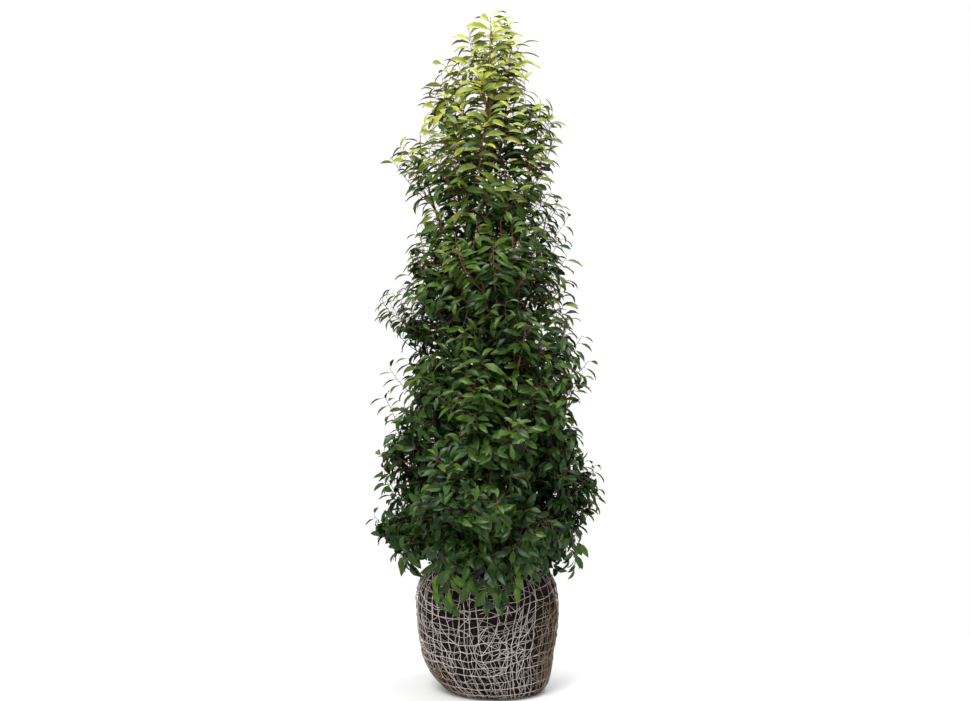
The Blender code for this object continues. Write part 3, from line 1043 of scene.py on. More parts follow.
    def lay_fine_threads(self) -> None:
        """Frayed threads that lie every way close on the soil."""
        for _ in range(self.fine_threads):
            count = int(self.chance.integers(5, 11))
            way = self.chance, count, self.thread_bend, self.thread_span, self.thread_step
            bearing, share = self.shape.stray(*way)
            places = np.stack([bearing, share.clip(0.03, 0.97)], axis=-1)
            self.lay(places, self.thread_lift, self.fine_radius, 3)

    def tie_knots(self) -> None:
        """A small lump at most places where an upright and a hoop cross."""
        for places in self.knots[:, 1 : self.hoops - 2].reshape(-1, 2):
            if self.chance.uniform() < self.knotted_share:
                points, out = self.shape.skin(places[:1], places[1:])
                way = self.chance.normal(0, 1, 3)
                way /= np.linalg.norm(way)
                size = self.string_radius * self.chance.uniform(*self.knot_spread)
                middle = points[0] + out[0] * self.knot_lift
                path = np.array([middle - way * size, middle, middle + way * size])
                slot = int(self.stain(path[:1])[0])
                radii = np.array([self.knot_ends, 1.0, self.knot_ends]) * size
                self.stack.add(tube(path, radii, 5, slot))

    def hang_loose_ends(self) -> None:
        """Cut ends that stand off the ball and curl down."""
        thinning = np.linspace(1, 0.5, self.loose_steps + 1)
        for _ in range(self.loose_ends):
            start = np.array([self.chance.uniform(0, math.tau)]), np.array([self.chance.uniform(0.1, 0.8)])
            points, out = self.shape.skin(*start)
            way = out[0] * 0.35 + np.append(self.chance.normal(0, 0.8, 2), self.chance.normal(0.1, 0.6))
            path = [points[0] + out[0] * self.loose_start]
            for _ in range(self.loose_steps):
                way = way / np.linalg.norm(way) + self.loose_droop + self.chance.normal(0, 0.12, 3)
                step = path[-1] + way * self.loose_step
                away = float((step - points[0]) @ out[0])
                path.append(step + out[0] * max(0.0, self.knot_lift - away))
            path = np.array(path)
            path[:, 2] = path[:, 2].clip(0.003, None)
            self.stack.add(tube(path, thinning * self.string_radius * 0.8, 4, 0))


# Limbs


@dataclass(frozen=True)
class Tier:
    """A ring of boughs at one height, and how its foliage grows."""

    name: str
    count: int
    bearing: float
    foot: float
    tip_left: float
    tip_right: float
    reach_left: float
    reach_right: float
    twigs: int
    shoots: int
    slot: str


TIERS = (
    Tier("crest", 3, 30, 1.68, 2.07, 2.16, 0.165, 0.095, 7, 1, "leaf_crest"),
    Tier("shoulder", 4, -15, 1.38, 1.83, 1.92, 0.250, 0.185, 10, 2, "leaf_crest"),
    Tier("chest", 4, 25, 1.10, 1.46, 1.56, 0.270, 0.225, 13, 3, "leaf_flank"),
    Tier("waist", 5, 0, 0.86, 1.14, 1.24, 0.290, 0.280, 14, 4, "leaf_flank"),
    Tier("hip", 5, -28, 0.69, 0.86, 0.94, 0.305, 0.295, 15, 5, "leaf_skirt"),
    Tier("skirt", 6, 4, 0.56, 0.60, 0.64, 0.325, 0.315, 16, 6, "leaf_skirt"),
)
LEADER = Tier("leader", 1, 0, 1.93, 2.32, 2.32, 0.0, 0.0, 4, 0, "leaf_crest")

# Height above the floor, with the crown's reach there on the left and on the right
CROWN = (
    (0.3, 0.26, 0.26), (0.44, 0.275, 0.3), (0.52, 0.38, 0.3), (0.6, 0.398, 0.365), (0.69, 0.405, 0.372),
    (0.77, 0.372, 0.362), (0.85, 0.365, 0.322), (0.94, 0.352, 0.305), (1.02, 0.35, 0.315),
    (1.1, 0.33, 0.322), (1.18, 0.262, 0.3), (1.27, 0.336, 0.292), (1.35, 0.362, 0.27),
    (1.43, 0.292, 0.272), (1.52, 0.272, 0.285), (1.6, 0.235, 0.285), (1.69, 0.24, 0.258),
    (1.77, 0.272, 0.228), (1.84, 0.352, 0.245), (1.93, 0.27, 0.262), (2.02, 0.232, 0.215),
    (2.1, 0.228, 0.175), (2.19, 0.17, 0.18), (2.27, 0.115, 0.165), (2.36, 0.06, 0.085),
)


def crown_reach(height: float, toward: Vector) -> float:
    """How far from the axis foliage may reach.

    Args:
        height: The height above the floor.
        toward: A point on the side that is meant.

    Returns:
        The reach there, or 0 above and below the crown.
    """
    side = 0.5 + 0.5 * toward.x / (math.hypot(toward.x, toward.y) + 0.001)
    for (low, left, right), (high, left_above, right_above) in zip(CROWN, CROWN[1:]):
        if low <= height <= high:
            share = (height - low) / (high - low)
            return mix(mix(left, left_above, share), mix(right, right_above, share), side)
    return 0.0


def outward_of(point: Vector) -> Vector:
    """The level direction from the plant's axis to a point."""
    return Vector((point.x, point.y, 0)).normalized()


@dataclass
class Mass:
    """One mass of foliage: its stem, its centre, and the bough that carries it."""

    name: str
    tier: Tier
    stem: Path
    centre: Vector
    bough: Path


@dataclass
class Limb:
    """A woody limb with its radius at each point."""

    name: str
    path: Path
    radii: list[float]


@dataclass(frozen=True)
class TreePlan:
    """Where the trunk, the boughs and the stems run, by the solids' own rule."""

    trunk_top: float = 1.93
    trunk_sunk: float = 0.004
    trunk_radius: float = 0.0165
    trunk_tip_radius: float = 0.0052
    flare_radius: float = 0.031
    flare_height: float = 0.07
    sway_x: float = 0.016
    sway_x_turns: float = 1.5
    sway_y: float = 0.012
    sway_y_turns: float = 1.1
    lean_x: float = 0.010
    bough_share: float = 0.33
    bough_radius: float = 0.0078
    bough_to_trunk: float = 0.58
    collar: float = 0.9
    collar_steps: int = 3
    stem_radius: float = 0.0056
    stem_tip_radius: float = 0.0022
    foot_stagger: float = 0.024
    tip_stagger: float = 0.055
    bearing_drift: float = 9
    bend_out: float = 0.72
    bend_up: float = 0.34
    centre_share: float = 0.62
    leader_tip_leaf: float = 0.035
    leader_steps: int = 12
    curve_steps: int = 30

    def axis(self, height: float) -> Vector:
        """The trunk's axis, straight at its foot and swaying above it.

        Args:
            height: The height above the floor.

        Returns:
            The axis's point there.
        """
        share = (height - BALL_HEIGHT) / (PLANT_HEIGHT - BALL_HEIGHT)
        free = smooth(share * 5)
        x = self.lean_x * share + self.sway_x * math.sin(math.tau * self.sway_x_turns * share)
        y = self.sway_y * math.sin(math.tau * self.sway_y_turns * share)
        return Vector((x * free, y * free, height))

    def thickness(self, height: float) -> float:
        """The trunk's radius, with the flare at its foot.

        Args:
            height: The height above the floor.

        Returns:
            The radius there.
        """
        rise = height - BALL_HEIGHT
        flare = (self.flare_radius - self.trunk_radius) * max(0.0, 1 - rise / self.flare_height) ** 2
        share = rise / (self.trunk_top - BALL_HEIGHT)
        return flare + mix(self.trunk_radius, self.trunk_tip_radius, share)

    def trunk(self, steps: int) -> Limb:
        """The trunk from the soil to where it enters the leader."""
        heights = [mix(BALL_HEIGHT - self.trunk_sunk, self.trunk_top, i / steps) for i in range(steps + 1)]
        return Limb("trunk", [self.axis(h) for h in heights], [self.thickness(h) for h in heights])

    def bough(self, tier: Tier, index: int, level: int) -> tuple[Limb, Mass]:
        """One bough and the mass that it carries.

        Args:
            tier: The ring that it belongs to.
            index: Its number in the ring.
            level: The ring's number from the top.

        Returns:
            The bough, and the mass with its stem.
        """
        chance = random.Random(SEED * 100 + level * 10 + index)
        drift = chance.uniform(-self.bearing_drift, self.bearing_drift)
        bearing = math.radians(tier.bearing + 360 * index / tier.count + drift)
        side = (1 + math.cos(bearing)) / 2
        foot = tier.foot + self.foot_stagger * (index * 2 % tier.count)
        tip = mix(tier.tip_left, tier.tip_right, side) + self.tip_stagger * (1 - 2 * (index % 2))
        reach = mix(tier.reach_left, tier.reach_right, side)
        outward = way_at(bearing)
        start = self.axis(foot)
        bend = start + outward * reach * self.bend_out + UP * (tip - foot) * self.bend_up
        path = bezier(start, bend, outward * reach + UP * tip, self.curve_steps)
        cut = round(self.curve_steps * self.bough_share)
        thick = min(self.bough_radius, self.bough_to_trunk * self.thickness(foot))
        swell = [1 + self.collar * max(0.0, 1 - i / self.collar_steps) ** 2 for i in range(cut + 1)]
        radii = [mix(thick, self.stem_radius, i / cut) * swell[i] for i in range(cut + 1)]
        limb = Limb(f"bough_{tier.name}_{index + 1}", path[: cut + 1], radii)
        return limb, self.mass(f"foliage_{tier.name}_{index + 1}", tier, path[cut:], path[: cut + 1])

    def mass(self, name: str, tier: Tier, stem: Path, bough: Path) -> Mass:
        """A mass round this stem."""
        return Mass(name, tier, stem, stem[0].lerp(stem[-1], self.centre_share), bough)

    def leader(self) -> Mass:
        """The mass that carries the trunk on to the plant's tip.

        Returns:
            The mass, which has no bough.
        """
        top = PLANT_HEIGHT - self.leader_tip_leaf
        shares = [i / self.leader_steps for i in range(self.leader_steps + 1)]
        stem = [self.axis(mix(self.trunk_top, top, share)) for share in shares]
        return self.mass("foliage_leader", LEADER, stem, [])

    def all_limbs(self) -> tuple[list[Limb], list[Mass]]:
        """Plans the whole plant above the trunk's foot.

        Returns:
            Every bough and every mass.
        """
        boughs, masses = [], [self.leader()]
        for level, tier in enumerate(TIERS):
            for index in range(tier.count):
                limb, mass = self.bough(tier, index, level)
                boughs.append(limb)
                masses.append(mass)
        return boughs, masses


@dataclass
class Bark:
    """The trunk and the boughs, with the relief of their bark."""

    plan: TreePlan
    trunk_steps: int = 260
    trunk_sides: int = 28
    bough_sides: int = 12
    coarse_steps: int = 60
    refinement: int = 4
    furrow_depth: float = 0.13
    furrow_scale: float = 150.0
    furrow_run: float = 26
    furrow_slant: float = 9
    ring_depth: float = 0.03
    ring_scale: float = 90
    sharp: float = 50

    def build(self, boughs: list[Limb]) -> BVHTree:
        """Makes both pieces.

        Args:
            boughs: The boughs' paths and radii.

        Returns:
            A search tree of the bark, for the leaves to keep clear of.
        """
        old_bark = BarkFinish("old_bark", (0.040, 0.026, 0.020), (0.17, 0.125, 0.095))
        smooth_bark = BarkFinish("bough_bark", (0.050, 0.030, 0.022), (0.16, 0.105, 0.075))
        trunk = Stack(self.barked(self.plan.trunk(self.trunk_steps), self.trunk_sides))
        report(trunk.make("trunk_bark", [old_bark], self.sharp), ["trunk"])
        rows = Stack(*(self.barked(bough, self.bough_sides) for bough in boughs))
        report(rows.make("bough_bark", [smooth_bark], self.sharp), [bough.name for bough in boughs])
        points = np.concatenate([trunk.joined("points"), rows.joined("points")])
        faces = np.concatenate([trunk.joined("quads"), rows.joined("quads") + trunk.count])
        return BVHTree.FromPolygons(points.tolist(), faces.tolist())

    def barked(self, limb: Limb, sides: int) -> Form:
        """A limb whose radius wanders with furrows, ridges and the swellings of old buds.

        Args:
            limb: Its path and radii. A path of few steps is made finer first.
            sides: How many sides it gets.

        Returns:
            The limb's closed skin.
        """
        path, radii = np.array([tuple(point) for point in limb.path]), np.array(limb.radii)
        if len(path) < self.coarse_steps:
            coarse = range(len(path))
            fine = np.linspace(0, len(path) - 1, self.refinement * len(path))
            path = np.stack([np.interp(fine, coarse, path[:, k]) for k in range(3)], axis=-1)
            radii = np.interp(fine, coarse, radii)
        made = np.empty((len(path), sides))
        for i, (point, radius) in enumerate(zip(path, radii)):
            for k, angle in enumerate(all_round(sides)):
                spot = way_at(angle) * radius * self.furrow_scale
                spot.z = point[2] * self.furrow_run + point[0] * self.furrow_slant
                bud = Vector((point[2] * self.ring_scale, angle, limb.path[0].z))
                relief = noise.noise(spot) * self.furrow_depth + noise.noise(bud) * self.ring_depth
                made[i, k] = radius * (1 + relief)
        return tube(path, made, sides)


# Foliage


@dataclass(frozen=True)
class LeafShape:
    """A laurel leaf: pointed, folded along its midrib and arched over towards its tip."""

    stations: tuple[float, ...] = (0.10, 0.36, 0.64, 0.87)
    widths: tuple[float, ...] = (0.46, 0.98, 0.88, 0.40)
    fold: float = math.radians(20)
    bend_power: float = 1.3
    thickness: float = 0.0005
    wave: float = 0.05
    wave_turns: float = 9
    wave_spread: tuple[float, ...] = (311.0, 173.0, 97.0)

    def form(self, leaves: Sequence["Leaf"]) -> Form:
        """Many leaves as one form.

        Args:
            leaves: The leaves.

        Returns:
            Closed thin blades, with one slot for each tint and for each underside.
        """
        root, ahead, upper = columns(leaves, "root", "ahead", "upper")
        length, half, arch = columns(leaves, "length", "half_width", "arch")
        tops = np.array([TINTS.index(leaf.tint) for leaf in leaves])
        unders = np.array([TINTS.index(UNDER.get(leaf.tint, Tint.GREEN_UNDER)) for leaf in leaves])
        side = np.cross(ahead, upper)
        phase = (root @ np.array(self.wave_spread)) % math.tau
        shares = [0.0, *self.stations, 1.0]
        place = root.copy()
        rows = [place[:, None]]
        for i in range(1, len(shares)):
            bend = arch * ((shares[i] + shares[i - 1]) / 2) ** self.bend_power
            way = ahead * np.cos(bend)[:, None] - upper * np.sin(bend)[:, None]
            place = place + way * (length * (shares[i] - shares[i - 1]))[:, None]
            if i == len(shares) - 1:
                rows.append(place[:, None])
                continue
            bend = arch * shares[i] ** self.bend_power
            over = upper * np.cos(bend)[:, None] + ahead * np.sin(bend)[:, None]
            width = half * self.widths[i - 1]
            out = side * (width * math.cos(self.fold))[:, None]
            lift = width * math.sin(self.fold)
            ripple = half * self.wave * np.sin(phase + self.wave_turns * shares[i])
            left = place - out + over * (lift + ripple)[:, None]
            right = place + out + over * (lift - ripple)[:, None]
            rows.append(np.stack([left, place, right, place - over * self.thickness], axis=1))
        points = np.concatenate(rows, axis=1)
        return copies(points, *self.faces(), tops, unders)

    def faces(self) -> tuple[Array, Array]:
        """One leaf's faces: first all of its upper ones, then its lower ones.

        Returns:
            The four-cornered faces, and the three-cornered ones.
        """
        upper, lower = [], []
        for i in range(len(self.stations) - 1):
            left, middle, right, below = (1 + 4 * i + k for k in range(4))
            upper += [(left, middle, middle + 4, left + 4), (middle, right, right + 4, middle + 4)]
            lower += [(below, left, left + 4, below + 4), (right, below, below + 4, right + 4)]
        tip = 1 + 4 * len(self.stations)
        last = tip - 4
        ends_up = [(0, 2, 1), (0, 3, 2), (last, last + 1, tip), (last + 1, last + 2, tip)]
        ends_low = [(0, 1, 4), (0, 4, 3), (last + 3, last, tip), (last + 2, last + 3, tip)]
        return np.array(upper + lower), np.array(ends_up + ends_low)


@dataclass
class Leaf:
    """One leaf on its stalk, which gets its width once it has found room."""

    foot: Vector
    root: Vector
    ahead: Vector
    upper: Vector
    length: float
    arch: float
    tint: Tint
    tier: str
    half_width: float = 0.0


def columns(leaves: Sequence[Leaf], *names: str) -> list[Array]:
    """Fields of all these leaves as arrays, one row a leaf."""
    return [np.array([getattr(leaf, name) for leaf in leaves], dtype=float) for name in names]


@dataclass
class Shoot:
    """A twig or a shoot: its path, its radius at its foot, and whether it is young."""

    path: Path
    radius: float
    young: bool


@dataclass(frozen=True)
class Fit:
    """How a twig or a shoot is fitted in: its steps, the cuts tried, and how far out it may end."""

    steps: int
    cuts: tuple[float, ...]
    reach: float


TWIG_FIT = Fit(5, (1.0, 0.8, 0.62, 0.45), 0.93)
SHOOT_FIT = Fit(4, (1.0, 0.72, 0.5), 0.95)
TIP_FIT = Fit(6, (1.0, 0.8, 0.6, 0.4, 0.25), 0.97)
HANGING_FIT = Fit(4, (1.0,), 1.0)


@dataclass(frozen=True)
class Habit:
    """How twigs, shoots and leaves grow at one height of the crown."""

    twig_length: float
    twig_lift: float
    shoot_length: float
    shoot_lift: float
    shoot_angle: float
    outward: float
    leaf_length: float
    leaf_width: float
    leaf_angle: float
    tip_leaf_angle: float
    arch: float
    sag: float
    face_out: float
    leaf_room: float
    bare_twig: float
    leaf_spacing: float
    rank_spread: float

    def toward(self, other: "Habit", share: float) -> "Habit":
        """The habit this share of the way to another."""
        names = [each.name for each in fields(self)]
        return Habit(**{name: mix(getattr(self, name), getattr(other, name), share) for name in names})


HEM = Habit(
    0.135, -0.30, 0.085, -0.10, 50, 0.55, 0.058, 0.220, 64, 44, 38, 0.45, 1.0, 0.0096, 0.4, 0.0138, 0.3
)
LOW = Habit(
    0.135, 0.10, 0.085, 0.30, 50, 0.75, 0.057, 0.205, 68, 50, 42, 0.30, 0.9, 0.0096, 0.4, 0.0138, 0.3
)
MID = Habit(
    0.170, 0.60, 0.125, 0.75, 42, 0.42, 0.059, 0.172, 70, 50, 60, 0.30, 0.6, 0.0118, 0.2, 0.0150, 0.42
)
HIGH = Habit(
    0.225, 1.00, 0.155, 1.10, 34, 0.12, 0.064, 0.176, 66, 46, 54, 0.0, 0.35, 0.0138, 0.12, 0.0160, 0.50
)
HABITS = ((0.56, HEM), (0.76, LOW), (0.95, LOW), (1.28, MID), (1.60, MID), (1.90, HIGH))
OLD_WOOD = BarkFinish("twig_bark", (0.060, 0.034, 0.014), (0.23, 0.135, 0.060), 0.6, 200.0, 0.0004)
YOUNG_WOOD = BarkFinish("young_bark", (0.080, 0.036, 0.013), (0.250, 0.120, 0.045), 0.5, 260.0, 0.0003)
# Painted shade: the same twig bark made darker for shoots low inside the crown.
PAINTED_SHADE_WOOD = BarkFinish("bark_painted_shade", (0.022, 0.015, 0.009), (0.085, 0.055, 0.032), 0.7, 220.0, 0.0003)


@dataclass
class Seat:
    """Where a leaf may grow: its place on its shoot, and its green, its tier and its habit."""

    foot: Vector
    heading: Vector
    share: float
    tint: Tint
    tier: str
    habit: Habit


@dataclass(frozen=True)
class Dealing:
    """How sprays and leaves are dealt their greens, which are numbered from the darkest, 0. Greens lighter
    at the top and outside and darker inside and low are partly the leaves' own age and partly painted light
    and shade.
    """

    base: float = 1.35
    # Lighter higher up: partly young growth, partly painted light where the top is lit and light shines
    # through the leaves.
    rise: float = 3.05
    rise_from: float = 1.30
    rise_over: float = 0.95
    # Lighter further out, darker further in: painted shade inside the crown.
    outward: float = 2.3
    outward_from: float = 0.80
    spread: float = 0.45
    patches: float = 1.3
    patch_scale: float = 6.5
    # Darker greens low on the hem: painted shade near the floor.
    hem_painted_shade: float = 1.25
    hem_top: float = 0.98
    hem_over: float = 0.35
    lightest_below: tuple[tuple[float, int], ...] = ((0.37, 1), (1.15, 2), (1.72, 3))
    # Leaves at the top never get the darkest greens: painted light shining through them.
    darkest_above: tuple[tuple[float, int], ...] = ((2.08, 4), (1.95, 3))
    fresh_from: float = 0.66
    fresh_share: float = 0.38
    dark_to: float = 0.42

    def lightest(self, height: float) -> int:
        """The number of the lightest green dealt at this height, so that the crown is darker lower down."""
        return next((number for top, number in self.lightest_below if height < top), len(GREENS) - 1)

    def spray(self, tip: Vector, chance: random.Random) -> Tint:
        """The green of a whole spray: lighter higher up, partly young growth and partly painted light on the
        lit top that light shines through; darker further in, painted shade inside the crown; darker on the
        hem, painted shade.

        Args:
            tip: The spray's tip.
            chance: What draws its stray from the rule.

        Returns:
            The green.
        """
        out = math.hypot(tip.x, tip.y) / max(0.05, crown_reach(tip.z, tip))
        # Painted light and shade: lighter higher up and further out, darker further in.
        value = self.base + self.rise * smooth((tip.z - self.rise_from) / self.rise_over)
        value += self.outward * (out - self.outward_from) + chance.gauss(0, self.spread)
        value += self.patches * noise.noise(tip * self.patch_scale)
        # Painted shade: darker greens towards the hem.
        value -= self.hem_painted_shade * smooth((self.hem_top - tip.z) / self.hem_over)
        # Painted light: the top's leaves stay light where they are shaded.
        darkest = next((number for foot, number in self.darkest_above if tip.z > foot), 0)
        return GREENS[min(self.lightest(tip.z), max(darkest, int(value)))]

    def leaf(self, tint: Tint, share: float, height: float, chance: random.Random) -> Tint:
        """A leaf's green, fresher than its spray's towards the tip and darker towards the foot.

        Args:
            tint: The spray's green.
            share: How far along the shoot the leaf sits.
            height: Its height above the floor.
            chance: What draws whether it is fresher.

        Returns:
            The green.
        """
        fresher = share > self.fresh_from and chance.random() < self.fresh_share
        number = GREENS.index(tint) + fresher - (share < self.dark_to)
        return GREENS[min(self.lightest(height), max(0, number))]


@dataclass(frozen=True)
class ProudShoot:
    """A shoot that stands out of the crown: where its tip is, and how far up it rises to it."""

    x: float
    depth: float
    height: float
    length: float
    leaf: float = 0.9
    room: float = 1.16
    hang: float = 0.0
    radius: float = 0.0018
    lean: float = 0.62

    @property
    def tip(self) -> Vector:
        """Its tip."""
        return Vector((self.x, self.depth, self.height))


PROUD_SHOOTS = tuple(
    ProudShoot(*row)
    for row in (
        # Round the outline, from the top down
        (0.113, 0.02, 2.24, 0.22, 1.2), (-0.062, -0.02, 2.262, 0.17, 1.1), (0.05, -0.02, 2.29, 0.14, 1.1),
        (0.012, -0.055, 2.352, 0.24, 1.2, 1.16, 0.0, 0.0026, 0.25), (-0.06, -0.09, 2.165, 0.16, 1.1),
        (0.085, -0.07, 2.15, 0.16, 1.1), (-0.15, -0.02, 2.165, 0.14, 1.05),
        (-0.105, 0.03, 2.19, 0.15, 1.05), (-0.187, 0.02, 2.094, 0.2, 1.05),
        (0.177, 0.04, 2.021, 0.16, 0.9), (0.226, -0.03, 1.986, 0.2, 0.95), (0.2, -0.08, 1.896, 0.14, 0.95),
        (-0.232, -0.06, 1.774, 0.16, 0.95), (0.224, 0.02, 1.723, 0.14, 0.95),
        (-0.33, 0.02, 1.842, 0.2, 1.0), (-0.265, -0.05, 1.8, 0.16, 0.95), (0.246, 0.05, 1.682, 0.18),
        (0.255, -0.06, 1.56, 0.16, 1.05, 1.25), (-0.243, -0.05, 1.588, 0.16), (-0.352, 0.04, 1.362, 0.18),
        (0.333, 0.05, 1.227, 0.16, 0.9, 1.36), (0.352, 0.0, 1.14, 0.15, 0.9, 1.3),
        (0.326, -0.1, 1.102, 0.14, 0.9, 1.25), (0.262, -0.06, 1.33, 0.16, 1.1, 1.2),
        (0.266, -0.02, 1.42, 0.16, 1.15, 1.2), (0.275, -0.03, 1.5, 0.17, 1.15, 1.25),
        (0.285, 0.02, 1.285, 0.15, 1.1, 1.25), (-0.352, -0.04, 1.016, 0.16),
        (-0.361, 0.05, 0.735, 0.14, 0.8), (-0.388, -0.04, 0.61, 0.12, 0.8),
        (0.345, 0.03, 0.79, 0.17, 0.75), (0.372, -0.05, 0.672, 0.14, 0.8),
        # Long shoots that hang out in front
        (0.02, -0.29, 1.545, 0.34, 1.12, 1.16, 0.4, 0.0042, 0.1),
        (-0.012, -0.232, 1.915, 0.26, 1.12, 1.16, 0.3, 0.003, 0.1), (0.05, -0.08, 2.235, 0.18, 1.1),
        (-0.105, -0.262, 1.56, 0.24, 1.0, 1.16, 0.3, 0.003, 0.15),
        # Round the outline again, where it is fuller
        (-0.362, -0.02, 1.345, 0.18), (-0.3, -0.08, 1.3, 0.16), (-0.33, 0.06, 1.31, 0.16),
        (-0.318, -0.1, 1.37, 0.17), (-0.35, 0.0, 1.29, 0.15), (-0.275, 0.0, 1.45, 0.16),
        (-0.335, 0.0, 1.11, 0.15), (0.278, -0.02, 1.635, 0.16), (0.375, -0.02, 0.78, 0.14),
        (0.375, 0.0, 0.7, 0.13, 0.8),
        # On the near side
        (0.16, -0.24, 1.05, 0.14), (0.215, -0.16, 1.02, 0.14), (-0.022, -0.275, 1.165, 0.14, 1.2),
        (-0.075, -0.27, 1.15, 0.14), (0.005, -0.3, 1.055, 0.12, 1.1), (-0.035, -0.31, 0.965, 0.12, 1.1),
        (-0.09, -0.3, 0.905, 0.12), (0.1, -0.3, 0.945, 0.14), (0.135, -0.29, 0.88, 0.14),
        (-0.235, -0.16, 1.13, 0.14, 1.2), (0.1, -0.24, 1.225, 0.16, 1.2), (-0.111, -0.22, 1.52, 0.2),
        (0.062, -0.16, 1.803, 0.2), (0.139, -0.24, 1.275, 0.15),
        # On the far side
        (0.02, 0.26, 1.48, 0.24), (-0.12, 0.22, 1.7, 0.2), (0.13, 0.28, 1.12, 0.18),
        (-0.1, 0.33, 0.86, 0.15),
        # Under the hem, which hang down to their tips
        (-0.165, -0.235, 0.368, -0.15, 1.2), (-0.125, -0.262, 0.342, -0.17, 1.2),
        (-0.06, -0.272, 0.415, -0.11, 1.15), (-0.005, -0.285, 0.345, -0.17, 1.2),
        (0.035, -0.272, 0.338, -0.18, 1.2), (0.305, -0.03, 0.445, -0.1, 1.0),
        (0.3, -0.11, 0.43, -0.11, 1.0), (-0.28, -0.03, 0.432, -0.11, 1.1),
        (-0.268, -0.11, 0.432, -0.11, 1.1), (0.095, -0.268, 0.41, -0.11, 1.15), (0.15, -0.24, 0.44, -0.09),
        (-0.11, 0.265, 0.39, -0.14, 1.15), (-0.03, 0.282, 0.37, -0.15, 1.15),
        (0.055, 0.276, 0.405, -0.12, 1.15), (0.13, 0.255, 0.385, -0.14, 1.15),
        (-0.085, -0.17, 0.505, -0.07), (0.01, -0.18, 0.505, -0.07), (0.1, -0.16, 0.505, -0.07),
        (-0.02, 0.17, 0.505, -0.07),
    )
)


